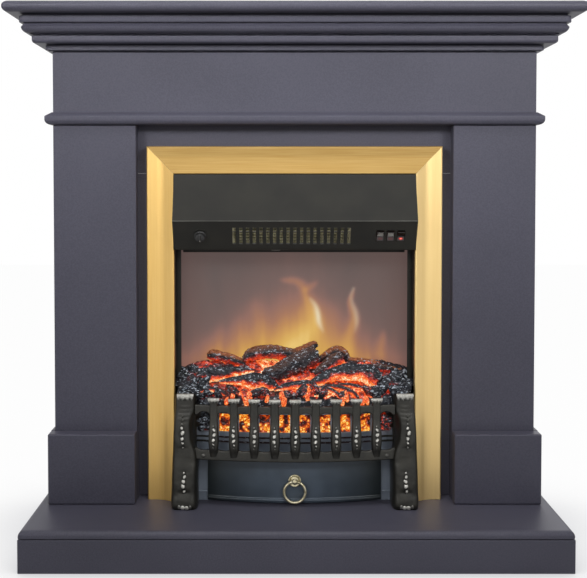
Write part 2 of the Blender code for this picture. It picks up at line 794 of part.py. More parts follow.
def make_blower(frame, near):
    """Cross-flow blower: duct body, vaned impeller and motor on one shaft line."""
    half = BLOWER_LENGTH / 2
    low_y = near + FIT
    axis_y = low_y + BLOWER_SIZE / 2
    height = BLOWER_SIZE / 2
    middle = GRILLE_CENTRE_X
    back_y = low_y + BLOWER_SIZE
    low = (middle - half, low_y, -height)
    body = board("blower_body", low, (middle + half, back_y, height), "galvanised", 0)
    body.parent = frame
    chamber_end = half - BLOWER_WALL
    left, right = middle - chamber_end, middle + chamber_end
    chamber = rod((left, axis_y, 0), (right, axis_y, 0), height - BLOWER_WALL, segments=32)
    tool(chamber, "blower_chamber")
    duct = HEATER_HEIGHT / 2 - BLOWER_WALL
    through = ((left, low_y - SHEET, -duct), (right, back_y + SHEET, duct))
    passage = box_cutters("blower_passage", [through])
    reach = half + SHEET
    bore = rod((middle - reach, axis_y, 0), (middle + reach, axis_y, 0), SHAFT_RADIUS + FIT)
    tool(bore, "blower_shaft_bore")
    for cut in (chamber, passage, bore):
        cut.parent = frame
        apply_boolean(body, cut)
    vane_end = chamber_end - 2 * FIT
    hub = (SHAFT_RADIUS, SHAFT_RADIUS)
    vane = (IMPELLER_RADIUS, IMPELLER_RADIUS * 0.66)
    stations = spindle_stations(FIT - half, half - FIT, vane_end, hub, vane)
    impeller = part(vaned_spindle(stations, IMPELLER_VANES), "blower_impeller", "galvanised")
    impeller.parent = frame
    impeller.location = (middle, axis_y, 0)
    start = middle + half + FIT
    motor = rod((start, axis_y, 0), (start + MOTOR_LENGTH, axis_y, 0), MOTOR_RADIUS)
    part(motor, "blower_motor", "galvanised")
    motor.parent = frame
    soften(motor, SHEET)


def spindle_stations(start, end, vane_end, hub, vane):
    """Stations of a spindle: bare shaft at both ends and vanes between."""
    return [
        (start, hub),
        (-vane_end, hub),
        (-vane_end, vane),
        (vane_end, vane),
        (vane_end, hub),
        (end, hub),
    ]


def vaned_spindle(stations, vanes):
    """Loft along X of star rings, each given by its x and its (tip, root) radii."""
    count = vanes * 2
    rings = []
    for x, radii in stations:
        ring = []
        for i in range(count):
            angle = 2 * math.pi * i / count
            radius = radii[i % 2]
            ring.append((x, radius * math.cos(angle), radius * math.sin(angle)))
        rings.append(ring)
    return loft(rings)


def spinner_y():
    return SCREEN_Y + SCREEN_THICKNESS + SPINNER_BACK


def make_flame_effect():
    inner = CASING_INNER - FIT
    foot = SCREEN_FOOT
    low = (-inner, SCREEN_Y, foot)
    high = (inner, SCREEN_Y + SCREEN_THICKNESS, HOOD_FOOT[1] + SHEET)
    board("flame_screen", low, high, "screen_glass", edge=0)
    y, z = spinner_y(), SPINNER_HEIGHT
    motor_start = CASING_INNER - FIT - SPINNER_MOTOR
    hub = (SHAFT_RADIUS, SHAFT_RADIUS)
    vane = (SPINNER_RADIUS, SPINNER_RADIUS * 0.3)
    vane_end = motor_start - 2 * SPINNER_RADIUS
    stations = spindle_stations(-CASING_HALF, motor_start - FIT, vane_end, hub, vane)
    spinner = part(vaned_spindle(stations, SPINNER_VANES), "flame_spinner", "mirror_foil")
    spinner.location = (0, y, z)
    size = SPINNER_MOTOR * 0.6
    motor_high = (motor_start + SPINNER_MOTOR, y + size, z + size)
    board("spinner_motor", (motor_start, y - size, z - size), motor_high, "galvanised", edge=SHEET)
    for name, side in both_sides():
        make_lamp(name, side)


def make_lamp(name, side):
    """Lampholder and candle lamp standing on the casing floor."""
    base = LAMP_RADIUS
    holder = LAMP_HEIGHT * 0.38
    profile = [(0, LAMP_HEIGHT)]
    bulge = arc((0, 0), 1, 78, 0, 5)
    glass = LAMP_HEIGHT - holder
    for across, up in bulge:
        profile.append((base * across * 0.95, holder + glass * (0.35 + 0.62 * up)))
    foot = SHEET * 2
    profile += [(base * 0.6, holder), (base * 0.8, holder), (base * 0.8, foot)]
    profile += [(base, foot), (base, 0), (0, 0)]
    lamp = part(turned(profile, 20), f"lamp_{name}", "lamp_glass")
    lamp.location = (side * LAMP_X, SCREEN_Y + LAMP_BACK, FLOOR + SHEET + FIT)


def make_fuel_bed():
    """Moulded tray of embers with charred logs on it, in one piece."""
    front = TRIM_NOSE - BED_FRONT
    neck = CASING_FRONT
    back = PANEL_FACE + SCREEN_SETBACK - FIT
    wide = CASING_INNER - FIT
    narrow = POST_INNER - FIT
    plan = [
        (-narrow, front), (narrow, front), (narrow, neck), (wide, neck),
        (wide, back), (-wide, back), (-wide, neck), (-narrow, neck),
    ]
    rings = [[(x, y, z) for x, y in plan] for z in (BED_FOOT, BED_TOP)]
    bed = part(loft(rings), "fuel_bed", "resin")
    crest = BED_TOP + MOUND_HEIGHT
    sunk = BED_TOP - MOUND_INSET
    slope = [
        (front + MOUND_INSET, sunk),
        (front + MOUND_TOE, BED_TOP + MOUND_HEIGHT * 0.25),
        (front + MOUND_SHOULDER, BED_TOP + MOUND_HEIGHT * 0.60),
        (back - MOUND_CREST, crest),
        (back - MOUND_INSET, crest),
        (back - MOUND_INSET, sunk),
    ]
    ends = ((-1, 0.5), (-0.75, 0.9), (0, 1.0), (0.75, 0.9), (1, 0.55))
    mound = heap(slope, [(x * (narrow - MOUND_INSET), share) for x, share in ends])
    apply_boolean(bed, tool(mound, "ember_mound"), "UNION")
    shoulder = [
        (neck + MOUND_INSET, sunk),
        (neck + RIDGE_TOE, BED_TOP + MOUND_HEIGHT * 0.55),
        (back - RIDGE_CREST, BED_TOP + MOUND_HEIGHT * 0.60),
        (back - 1.25 * MOUND_INSET, sunk),
    ]
    ends = ((-1, 0.6), (-0.8, 1.0), (0.8, 1.0), (1, 0.6))
    ridge = heap(shoulder, [(x * (wide - 1.5 * MOUND_INSET), share) for x, share in ends])
    apply_boolean(bed, tool(ridge, "ember_ridge"), "UNION")
    for i, (start, end, thick, thin) in enumerate(LOGS):
        ends = [(x, back - away, BED_TOP + up) for x, away, up in (start, end)]
        log = rod(*ends, thick, thin, segments=10)
        apply_boolean(bed, tool(log, f"log_{i + 1}"), "UNION")


def heap(section, stations):
    """Loft along X of one (y, z) section whose height above the tray is scaled at each station."""
    rings = []
    for x, share in stations:
        rings.append([(x, y, BED_TOP + (z - BED_TOP) * (share if z > BED_TOP else 1)) for y, z in section])
    return loft(rings)


def post_rings(side):
    """Cast post from its foot up: (height, how far it is cut back inside and in front)."""
    waist = GRATE_POST_WAIST
    stations = [
        (0.0, 0.0, 0.0), (0.052, 0.0, 0.0), (0.075, 0.004, 0.004), (0.165, 0.006, 0.006),
        (0.31, 0.006, 0.006), (0.34, waist, 0.009), (0.53, waist, 0.010), (0.56, 0.006, 0.007),
        (0.70, 0.006, 0.007), (0.73, waist, 0.010), (0.91, waist, 0.010), (0.93, 0.003, 0.005),
        (0.975, 0.003, 0.004), (1.0, 0.007, 0.009),
    ]
    front = TRIM_FACE - GRATE_POST_FRONT
    back = CASING_FRONT - FIT
    outer = FIRE_HALF - FIT
    rings = []
    for share, inset, cut_back in stations:
        z = FLOOR + (GRATE_POST_HEIGHT - FIT) * share
        inner = POST_INNER + inset
        y = front + cut_back
        corner = GRATE_POST_CORNER
        ring = [
            (inner, back), (inner, y + corner), (inner + corner, y),
            (outer - corner, y), (outer, y + corner), (outer, back),
        ]
        rings.append([(side * x, py, z) for x, py in ring])
    return rings


def make_grate():
    for name, side in both_sides():
        part(loft(post_rings(side)), f"grate_post_{name}", "cast_iron")
    side_y = TRIM_FACE - GRATE_RAIL_FRONT
    lower = HEARTH_HEIGHT + LOWER_RAIL_FOOT
    upper = HEARTH_HEIGHT + UPPER_RAIL_FOOT
    rail = bowed_rail(lower, lower + LOWER_RAIL_HEIGHT, side_y)
    grate = part(rail, "grate_bars", "cast_iron")
    bm = bmesh.new()
    for i in range(GRATE_BARS):
        x = (i - (GRATE_BARS - 1) / 2) * GRATE_PITCH
        rail_y = side_y - bow(x, RAIL_HALF, GRATE_BOW)
        add_loft(bm, bar_rings(x, rail_y, lower + LOWER_RAIL_HEIGHT / 2))
    bmesh.ops.recalc_face_normals(bm, faces=bm.faces)
    apply_boolean(grate, tool(object_from(bm), "grate_uprights"), "UNION")
    top_rail = tool(bowed_rail(upper, upper + UPPER_RAIL_HEIGHT, side_y), "grate_top_rail")
    apply_boolean(grate, top_rail, "UNION")


def bar_rings(x, rail_y, foot):
    """Upright with a belly below the middle and a flared cap, rooted in the lower rail."""
    wide = GRATE_BAR_HALF
    top = HEARTH_HEIGHT + GRATE_BAR_TOP
    stations = [
        (0.0, 0.62, 0.0010), (0.14, 0.72, 0.0030), (0.24, 0.95, 0.0070), (0.42, 0.95, 0.0080),
        (0.56, 0.80, 0.0040), (0.80, 0.80, 0.0030), (0.90, 1.08, 0.0080), (0.97, 1.08, 0.0080),
        (1.0, 0.85, 0.0050),
    ]
    rings = []
    for share, width, proud in stations:
        z = foot + (top - foot) * share
        front = rail_y - proud
        back = rail_y + GRATE_RAIL_THICKNESS * 0.8
        half = wide * width
        rings.append([(x - half, back, z), (x - half, front + 0.002, z), (x - half * 0.5, front, z),
                      (x + half * 0.5, front, z), (x + half, front + 0.002, z), (x + half, back, z)])
    return rings


def ember_panel_y():
    return TRIM_FACE - EMBER_PANEL_FRONT


def make_ember_panel():
    """Bowed plate behind the bars, with a window between each pair and two long air slots."""
    half = POST_INNER - FIT
    foot = HEARTH_HEIGHT + LOWER_RAIL_FOOT
    y = ember_panel_y()
    plate = bowed_plate(half, foot, BED_FOOT - FIT, y, GRATE_BOW, EMBER_PANEL_THICKNESS)
    panel = part(plate, "ember_panel", "grey_steel")
    low_z = HEARTH_HEIGHT + EMBER_WINDOW_FOOT
    high_z = min(low_z + EMBER_WINDOW_HEIGHT, BED_FOOT - 3 * SHEET)
    front = y - 2 * GRATE_BOW
    back = y + 2 * EMBER_PANEL_THICKNESS
    reach = half - EMBER_WINDOW_WIDTH * 0.8
    across = EMBER_WINDOW_WIDTH / 2
    cuts = []
    for i in range(GRATE_BARS + 1):
        x = max(-reach, min(reach, (i - GRATE_BARS / 2) * GRATE_PITCH))
        cuts.append(((x - across, front, low_z), (x + across, back, high_z)))
    for row in (1, 2):
        z = low_z - row * 2.2 * VENT_SLOT_HEIGHT
        cuts.append(((-reach, front, z - VENT_SLOT_HEIGHT), (reach, back, z)))
    apply_boolean(panel, box_cutters("ember_windows", cuts))
    glow_y = y + EMBER_PANEL_THICKNESS + 2 * FIT
    sill = EMBER_WINDOW_WIDTH / 8
    glow = bowed_plate(half, low_z - sill, BED_FOOT - FIT, glow_y, GRATE_BOW, EMBER_PANEL_THICKNESS)
    part(glow, "ember_strip", "ember")


def lower_panel_back():
    return TRIM_FACE - COVER_FRONT + COVER_THICKNESS + FIT + SHEET


def make_lower_panel():
    front = lower_panel_back() - SHEET
    half = POST_INNER - FIT
    top = HEARTH_HEIGHT + LOWER_RAIL_FOOT
    panel = board("lower_panel", (-half, front, FLOOR), (half, front + SHEET, top), "grey_steel", edge=0)
    z = HEARTH_HEIGHT + COVER_PIN_HEIGHT
    for name, side in both_sides():
        x = side * COVER_PIN_X
        hole = rod((x, front - SHEET, z), (x, front + 2 * SHEET, z), COVER_PIN_RADIUS + FIT)
        apply_boolean(panel, tool(hole, f"cover_pin_hole_{name}"))


def make_ash_pan_cover():
    """Bowed cover that draws forward on two pins."""
    foot = HEARTH_HEIGHT + COVER_FOOT
    top = HEARTH_HEIGHT + LOWER_RAIL_FOOT - RUN
    side_y = TRIM_FACE - COVER_FRONT
    plate = bowed_plate(COVER_HALF_WIDTH, foot, top, side_y, COVER_BOW, COVER_THICKNESS, 20)
    cover = part(plate, "ash_pan_cover", "grey_steel")
    z = HEARTH_HEIGHT + COVER_PIN_HEIGHT
    start = side_y - bow(COVER_PIN_X, COVER_HALF_WIDTH, COVER_BOW) + COVER_THICKNESS / 2
    end = lower_panel_back() + COVER_TRAVEL + SHEET
    for name, side in both_sides():
        x = side * COVER_PIN_X
        pin = rod((x, start, z), (x, end, z), COVER_PIN_RADIUS, segments=16)
        apply_boolean(cover, tool(pin, f"cover_pin_{name}"), "UNION")


def ring_axis():
    """Place of the hinge where the ring hangs in its rosette."""
    front = TRIM_FACE - COVER_FRONT - COVER_BOW - FIT - ROSETTE_THICKNESS
    return (0, front - ROSETTE_BALL * 0.8, HEARTH_HEIGHT + RING_HEIGHT)


def make_ring_pull():
    _, y, z = ring_axis()
    face = TRIM_FACE - COVER_FRONT - COVER_BOW - FIT
    reach = face - y
    ball = ROSETTE_BALL
    tip = arc((0, reach), ball, 90, -30, 6)
    profile = [
        *[(max(r, 0), h) for r, h in tip],
        (ball * 0.75, ROSETTE_THICKNESS),
        (ROSETTE_RADIUS * 0.7, ROSETTE_THICKNESS),
        (ROSETTE_RADIUS * 0.85, ROSETTE_THICKNESS * 0.7),
        (ROSETTE_RADIUS, ROSETTE_THICKNESS * 0.5),
        (ROSETTE_RADIUS, 0),
        (0, 0),
    ]
    rosette = part(turned(profile, 24), "ring_rosette", "old_brass")
    rosette.rotation_euler = (math.pi / 2, 0, 0)
    rosette.location = (0, face, z)
    eye = rod((-2 * ball, y, z), (2 * ball, y, z), eye_radius())
    apply_boolean(rosette, tool(eye, "ring_eye"))
    bpy.ops.mesh.primitive_torus_add(
        major_segments=32, minor_segments=10, major_radius=RING_RADIUS, minor_radius=RING_WIRE
    )
    ring = part(bpy.context.object, "ring_handle", "old_brass")
    ring.data.transform(Matrix.Rotation(math.pi / 2, 4, "X"))
    ring.data.transform(Matrix.Translation((0, 0, -RING_RADIUS)))
    ring.location = (0, y, z)


def eye_radius():
    """Bore of the eye: the wire, its sag across the ball and a running gap."""
    sag = ROSETTE_BALL**2 / (2 * RING_RADIUS)
    return RING_WIRE + sag + FIT


def make_fire():
    make_trim()
    make_casing()
    make_rear_cover()
    make_hood()
    frame, face_length = outlet_frame()
    make_outlet_grille(frame, face_length)
    make_rockers(frame)
    make_knob(frame)
    heater_back = make_heater(frame)
    make_blower(frame, heater_back)
    make_flame_effect()
    make_fuel_bed()
    make_grate()
    make_ember_panel()
    make_lower_panel()
    make_ash_pan_cover()
    make_ring_pull()


def make_surround():
    make_hearth()
    make_pillars_and_plinths()
    make_back_panel()
    make_frieze_and_belt()
    make_crown_and_shelf()


make_surround()
make_fire()
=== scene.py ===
"""Looks of an electric fireplace suite: painted surround, brass-trimmed fire, cast grate, lit logs.

Everything is in metres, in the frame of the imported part: +Z up, -Y out of the front.
"""

import json
import math

import bmesh
import bpy
import numpy as np
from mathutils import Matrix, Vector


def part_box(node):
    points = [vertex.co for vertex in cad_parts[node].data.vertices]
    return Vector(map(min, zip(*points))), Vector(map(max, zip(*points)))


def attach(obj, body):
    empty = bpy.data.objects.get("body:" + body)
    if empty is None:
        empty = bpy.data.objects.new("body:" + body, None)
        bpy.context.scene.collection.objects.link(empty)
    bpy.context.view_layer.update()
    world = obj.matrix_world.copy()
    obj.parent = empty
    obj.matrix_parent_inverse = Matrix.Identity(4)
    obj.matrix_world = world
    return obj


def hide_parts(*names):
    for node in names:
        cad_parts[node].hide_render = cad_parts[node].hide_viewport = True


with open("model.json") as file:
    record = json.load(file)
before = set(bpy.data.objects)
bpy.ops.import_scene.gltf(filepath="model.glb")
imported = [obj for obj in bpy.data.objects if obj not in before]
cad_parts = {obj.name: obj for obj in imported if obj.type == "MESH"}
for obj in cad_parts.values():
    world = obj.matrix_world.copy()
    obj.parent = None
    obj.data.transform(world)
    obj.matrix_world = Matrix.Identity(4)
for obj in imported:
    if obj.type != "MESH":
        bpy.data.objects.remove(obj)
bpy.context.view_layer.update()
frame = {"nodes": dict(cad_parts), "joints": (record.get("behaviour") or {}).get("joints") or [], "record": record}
JOINTS = {joint["name"]: joint for joint in frame["joints"]}

# Camera: place in metres, lean below the level in radians, focal length in millimetres for a
# 36 mm sensor, and shift as a share of the sensor's width
CAMERA_PLACE = (-0.0339, -1.7337, 0.600)
CAMERA_LEAN = 0.032
CAMERA_LENS = 62.13
CAMERA_SHIFT = (0.0324, -0.12)

MM = 0.001
TRIM_MEMBER = 47.5 * MM
TRIM_PROUD = 16 * MM
TRIM_RISE = 12 * MM
SCREEN_FACE = 38.2 * MM
SCREEN_HALF = 199 * MM
STRIP_FACE = -1 * MM


def corners(node):
    """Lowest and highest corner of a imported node, as arrays."""
    low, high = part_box(node)
    return np.array(low), np.array(high)


def thickness(node):
    """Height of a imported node."""
    low, high = corners(node)
    return high[2] - low[2]


def spread(x, y, z):
    """Points whose coordinates are three numbers or arrays, spread to their common shape."""
    return np.stack(np.broadcast_arrays(x, y, z), -1)


def smooth_path(knots, count):
    """Points of a Catmull-Rom curve through the knots, evenly spread over their index."""
    knots = np.asarray(knots, float)
    ends = (2 * knots[0] - knots[1], 2 * knots[-1] - knots[-2])
    padded = np.vstack([ends[0], knots, ends[1]])
    place = np.linspace(0, len(knots) - 1, count)
    step = np.minimum(place.astype(int), len(knots) - 2)
    t = (place - step)[:, None]
    a, b, c, d = (padded[step + i] for i in range(4))
    return 0.5 * (2 * b + (c - a) * t + (2 * a - 5 * b + 4 * c - d) * t**2 + (3 * b - a - 3 * c + d) * t**3)


def random_at(cell, seed):
    """Fixed random value in 0..1 for each whole-number point: the fraction of a large sine."""
    return np.mod(np.sin(cell @ np.array([127.1, 311.7, 74.7]) + 53.3 * seed) * 43758.5453, 1.0)


def soft_noise(points, seed=0.0):
    """Value noise in -1..1: random corner values blended by a smooth cubic along each axis."""
    base = np.floor(points)
    t = points - base
    t = t * t * (3 - 2 * t)
    total = np.zeros(points.shape[:-1])
    for corner in np.ndindex(2, 2, 2):
        share = np.prod(np.where(corner, t, 1 - t), axis=-1)
        total += share * random_at(base + corner, seed)
    return 2 * total - 1


def layered_noise(points, seed=0.0, layers=4):
    """Sum of noises, each of half the size and half the strength of the one before."""
    return sum(soft_noise(points * 2.0**i, seed + i) * 0.5**i for i in range(layers))


def cell_distances(points, seed=0.0):
    """Distance to the nearest and second nearest of the jittered spots, one to each unit cell."""
    base = np.floor(points)
    nearest = np.full(points.shape[:-1], 9.0)
    second = nearest.copy()
    for offset in np.ndindex(3, 3, 3):
        cell = base + np.array(offset) - 1
        jitter = np.stack([random_at(cell, seed + 7.1 * i) for i in range(3)], -1)
        away = np.linalg.norm(points - cell - jitter, axis=-1)
        second = np.minimum(second, np.maximum(nearest, away))
        nearest = np.minimum(nearest, away)
    return nearest, second


def grid_shape(points, caps="fan", loop=False):
    """Closed surface over a (rows, columns, 3) grid of points, the last column joined to the first.

    A fan closes each end row about its centre, a strip closes the end of a bent sheet, whose second
    half of columns runs back along its first, and a loop joins the last row to the first instead.
    """
    rows, columns, _ = points.shape
    index = np.arange(rows * columns).reshape(rows, columns)
    index = np.hstack([index, index[:, :1]])
    if loop:
        index = np.vstack([index, index[:1]])
    quads = np.stack([index[:-1, :-1], index[:-1, 1:], index[1:, 1:], index[1:, :-1]], -1).reshape(-1, 4)
    flat = points.reshape(-1, 3)
    triangles = np.empty((0, 3), int)
    if caps == "fan" and not loop:
        hubs = np.array([[len(flat)], [len(flat) + 1]]) + np.zeros((1, columns), int)
        rims = index[[0, -1]]
        triangles = np.stack([hubs, rims[:, :-1], rims[:, 1:]], -1).reshape(-1, 3)
        flat = np.vstack([flat, points[0].mean(0), points[-1].mean(0)])
    if caps == "strip":
        there = index[[0, -1], :columns]
        back = there[:, ::-1]
        half = columns // 2
        strip = np.stack([there[:, : half - 1], there[:, 1:half], back[:, 1:half], back[:, : half - 1]], -1)
        quads = np.vstack([quads, strip.reshape(-1, 4)])
    return flat, quads, triangles


def capped(values):
    """Values of a capped grid, with one more for each end's centre."""
    return np.concatenate([values.ravel(), [values[0].mean(), values[-1].mean()]])


def joined(*shapes):
    """Several shapes as one, each keeping its own shell."""
    starts = np.cumsum([0] + [len(points) for points, _, _ in shapes[:-1]])
    return (
        np.vstack([points for points, _, _ in shapes]),
        np.vstack([quads + start for start, (_, quads, _) in zip(starts, shapes)]),
        np.vstack([triangles + start for start, (_, _, triangles) in zip(starts, shapes)]),
    )


def cast_together(parts):
    """One shape and one array of wear and painted glint from several (shape, values) parts."""
    return joined(*[shape for shape, _ in parts]), np.concatenate([wear for _, wear in parts])


def piece(name, shape, material, slot, body="root", replaces=(), sharp=35.0, **values):
    """Make the shape a mesh object of that finish, riding on a body, with named values on its points."""
    points, quads, triangles = shape
    mesh = bpy.data.meshes.new(name)
    mesh.from_pydata(points.tolist(), [], quads.tolist() + triangles.tolist())
    for key, numbers in values.items():
        layer = mesh.attributes.new(key, "FLOAT", "POINT")
        layer.data.foreach_set("value", np.asarray(numbers, np.float32))
    outward = bmesh.new()
    outward.from_mesh(mesh)
    bmesh.ops.recalc_face_normals(outward, faces=outward.faces)
    outward.to_mesh(mesh)
    outward.free()
    mesh.shade_smooth()
    mesh.set_sharp_from_angle(angle=math.radians(sharp))
    mesh.materials.append(material)
    obj = bpy.data.objects.new(name, mesh)
    bpy.context.scene.collection.objects.link(obj)
    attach(obj, body)
    if replaces:
        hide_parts(*replaces)


def arc(centre, radius, start, end, steps):
    """Points of an arc between two angles in degrees, as an (n, 2) array."""
    angles = np.radians(np.linspace(start, end, steps + 1))
    return np.array(centre) + radius * np.stack([np.cos(angles), np.sin(angles)], -1)


def sheet_outline(path, wall):
    """Closed outline of a bent sheet: the path, then its parallel, one wall to its left."""
    path = np.asarray(path, float)
    run = np.diff(path, axis=0)
    run /= np.linalg.norm(run, axis=1, keepdims=True)
    left = np.stack([-run[:, 1], run[:, 0]], -1)
    before, after = np.vstack([left[:1], left]), np.vstack([left, left[-1:]])
    middle = before + after
    middle *= 2 / np.sum(middle * middle, axis=1, keepdims=True)
    return np.vstack([path, (path + wall * middle)[::-1]])


def prism(section, start, end, axis, caps="fan"):
    """Straight bar: a closed (n, 2) section carried along one axis, 0 for X or 2 for Z."""
    ends = [np.insert(section, axis, place, axis=1) for place in (start, end)]
    return grid_shape(np.array(ends), caps)


def rounded_box(x0, x1, y0, y1, r):
    """Rectangular section with rounded corners, as an (n, 2) array."""
    spots = ((x1 - r, y1 - r), (x0 + r, y1 - r), (x0 + r, y0 + r), (x1 - r, y0 + r))
    return np.vstack([arc(spot, r, 90 * i, 90 * i + 90, 4) for i, spot in enumerate(spots)])


def full_turn(count):
    """Angles of a full turn in equal steps, the last one short of the first."""
    return np.linspace(0, 2 * math.pi, count, endpoint=False)


def squared(wave, power):
    """Sine or cosine raised to a power below one with its sign kept, which squares a round section."""
    return np.sign(wave) * np.abs(wave) ** power


def ball_grid(around, along, pole):
    """Unit ball as a grid of rings, which stop at the given number of degrees above and below the level."""
    tilt = np.linspace(-pole, pole, along) * math.pi / 180
    turn = full_turn(around)
    ring = np.cos(tilt)[:, None]
    return spread(ring * np.cos(turn), ring * np.sin(turn), np.sin(tilt)[:, None])


def ellipsoid(centre, radii, around=20, along=12):
    """Egg with its poles along Z, closed by small fans."""
    return grid_shape(np.array(centre) + ball_grid(around, along, 88) * np.array(radii))


def turned(profile, centre, axis, around=64):
    """Profile of (radius, height) points turned about an axis through the centre."""
    profile = np.asarray(profile, float)
    axis = np.array(axis, float)
    side = np.cross(axis, (0, 0, 1) if abs(axis[2]) < 0.9 else (0, 1, 0))
    side /= np.linalg.norm(side)
    up = np.cross(axis, side)
    turn = full_turn(around)
    spoke = np.cos(turn)[:, None] * side + np.sin(turn)[:, None] * up
    return grid_shape(np.array(centre) + profile[:, :1, None] * spoke + profile[:, 1:, None] * axis)


def linear(code):
    """sRGB hex code as linear RGBA."""
    channels = [int(code[i : i + 2], 16) / 255 for i in (1, 3, 5)]
    return (*[c / 12.92 if c <= 0.04045 else ((c + 0.055) / 1.055) ** 2.4 for c in channels], 1.0)


# Kinds of node used by several finishes
NOISE = "ShaderNodeTexNoise"
RAMP = "ShaderNodeValToRGB"
RANGE = "ShaderNodeMapRange"
MATH = "ShaderNodeMath"
MIX = "ShaderNodeMix"
MAPPING = "ShaderNodeMapping"
STORED = "ShaderNodeAttribute"
AXES = "ShaderNodeSeparateXYZ"
BUMP = "ShaderNodeBump"


def wire(tree, node, settings, links):
    """Set a node's properties, ramp stops and inputs, and link its inputs to other nodes' outputs."""
    for key, value in settings.items():
        if key == "stops":
            ramp = node.color_ramp.elements
            for i, (place, code) in enumerate(value):
                stop = ramp[i] if i < 2 else ramp.new(place)
                stop.position = place
                stop.color = linear(code)
        elif isinstance(key, str) and hasattr(node, key):
            setattr(node, key, value)
        else:
            node.inputs[key].default_value = linear(value) if isinstance(value, str) else value
    for key, socket in links.items():
        tree.links.new(socket, node.inputs[key])


def add_node(tree, kind, settings=None, links=None, output=0):
    """Add a node with its settings and links, and give back one of its outputs."""
    node = tree.nodes.new(kind)
    wire(tree, node, settings or {}, links or {})
    return node.outputs[output]


def new_material(name, settings):
    """Principled material with its constant inputs set, its tree, shader and Object coordinates."""
    material = bpy.data.materials.new(name)
    material.use_nodes = True
    tree = material.node_tree
    shader = tree.nodes["Principled BSDF"]
    wire(tree, shader, settings, {})
    return material, tree, shader, add_node(tree, "ShaderNodeTexCoord", output="Object")


def ray_share(tree, *kinds):
    """1 for a ray of one of the named kinds, and 0 for any other."""
    rays = add_node(tree, "ShaderNodeLightPath").node.outputs
    share = rays[f"Is {kinds[0]} Ray"]
    for kind in kinds[1:]:
        share = add_node(tree, MATH, {"operation": "MAXIMUM"}, {0: share, 1: rays[f"Is {kind} Ray"]})
    return share


def painted_mdf():
    """MDF sprayed dark grey-violet: satin, with a fine pebbled skin; bare brown board at the back.

    The pebbles are drawn at 2.2 mm and the fibres at 6 mm, coarser than life, so that they show.
    """
    material, tree, shader, place = new_material("sprayed_mdf", {"IOR": 1.5, "Specular IOR Level": 0.3})
    cloud = add_node(tree, NOISE, {"Scale": 1 / (220 * MM), "Detail": 2.0}, {"Vector": place})
    grain = add_node(tree, NOISE, {"Scale": 1 / (2.2 * MM), "Detail": 2.0}, {"Vector": place})
    plain = add_node(tree, RAMP, {"stops": ((0.3, "#4b4a57"), (0.7, "#535260"))}, {"Fac": cloud})
    pebbled = add_node(tree, RAMP, {"stops": ((0.35, "#313039"), (0.65, "#74727f"))}, {"Fac": grain})
    paint = add_node(tree, MIX, {"data_type": "RGBA", 0: 0.12}, {6: plain, 7: pebbled}, 2)
    upright = add_node(tree, MAPPING, {"Scale": (1, 1, 0.3)}, {"Vector": place})
    fibre = add_node(tree, NOISE, {"Scale": 1 / (6 * MM), "Detail": 4.0}, {"Vector": upright})
    board = add_node(tree, RAMP, {"stops": ((0.3, "#8d6f4c"), (0.7, "#a98c66"))}, {"Fac": fibre})
    normal = add_node(tree, "ShaderNodeNewGeometry", output="True Normal")
    facing = add_node(tree, AXES, {}, {"Vector": normal}, "Y")
    back = add_node(tree, MATH, {"operation": "GREATER_THAN", 1: 0.95}, {0: facing})
    colour = add_node(tree, MIX, {"data_type": "RGBA"}, {0: back, 6: paint, 7: board}, 2)
    rough = add_node(tree, RANGE, {"To Min": 0.42, "To Max": 0.54}, {"Value": grain})
    bump = add_node(tree, BUMP, {"Distance": 0.10 * MM, "Strength": 0.5}, {"Height": grain})
    wire(tree, shader, {}, {"Base Color": colour, "Roughness": rough, "Normal": bump})
    return material


def brushed_brass(name, along, dull, bright, roughness):
    """Lacquered brass sheet, linished along its length into fine streaks that catch a soft gleam.

    The streaks are drawn 1.6 mm wide, coarser than life, so that they show.
    """
    material, tree, shader, place = new_material(name, {"Metallic": 0.75})
    stretch = tuple(0.02 if i == along else 1.0 for i in range(3))
    drawn = add_node(tree, MAPPING, {"Scale": stretch}, {"Vector": place})
    streaks = add_node(tree, NOISE, {"Scale": 1 / (1.6 * MM), "Detail": 3.0}, {"Vector": drawn})
    cloud = add_node(tree, NOISE, {"Scale": 1 / (60 * MM), "Detail": 2.0}, {"Vector": drawn})
    plain = add_node(tree, RAMP, {"stops": ((0.3, dull), (0.7, bright))}, {"Fac": cloud})
    fine = add_node(tree, RAMP, {"stops": ((0.3, dull), (0.7, "#f6dc9c"))}, {"Fac": streaks})
    colour = add_node(tree, MIX, {"data_type": "RGBA", 0: 0.12}, {6: plain, 7: fine}, 2)
    rough = add_node(tree, RANGE, {"To Min": roughness, "To Max": roughness + 0.08}, {"Value": streaks})
    bump = add_node(tree, BUMP, {"Distance": 0.01 * MM, "Strength": 0.3}, {"Height": streaks})
    wire(tree, shader, {}, {"Base Color": colour, "Roughness": rough, "Normal": bump})
    return material


def antique_brass():
    """Cast brass, rubbed pale and smooth in patches and duller between them, finely pitted."""
    material, tree, shader, place = new_material("worn_brass", {"Metallic": 0.9})
    cloud = add_node(tree, NOISE, {"Scale": 1 / (5 * MM), "Detail": 3.0}, {"Vector": place})
    stops = ((0.25, "#968c6c"), (0.5, "#cdc4a4"), (0.75, "#e9e1c8"))
    colour = add_node(tree, RAMP, {"stops": stops}, {"Fac": cloud})
    rough = add_node(tree, RANGE, {"To Min": 0.42, "To Max": 0.26}, {"Value": cloud})
    pits = add_node(tree, NOISE, {"Scale": 1 / (0.8 * MM), "Detail": 3.0}, {"Vector": place})
    bump = add_node(tree, BUMP, {"Distance": 0.03 * MM, "Strength": 0.5}, {"Height": pits})
    wire(tree, shader, {}, {"Base Color": colour, "Roughness": rough, "Normal": bump})
    return material


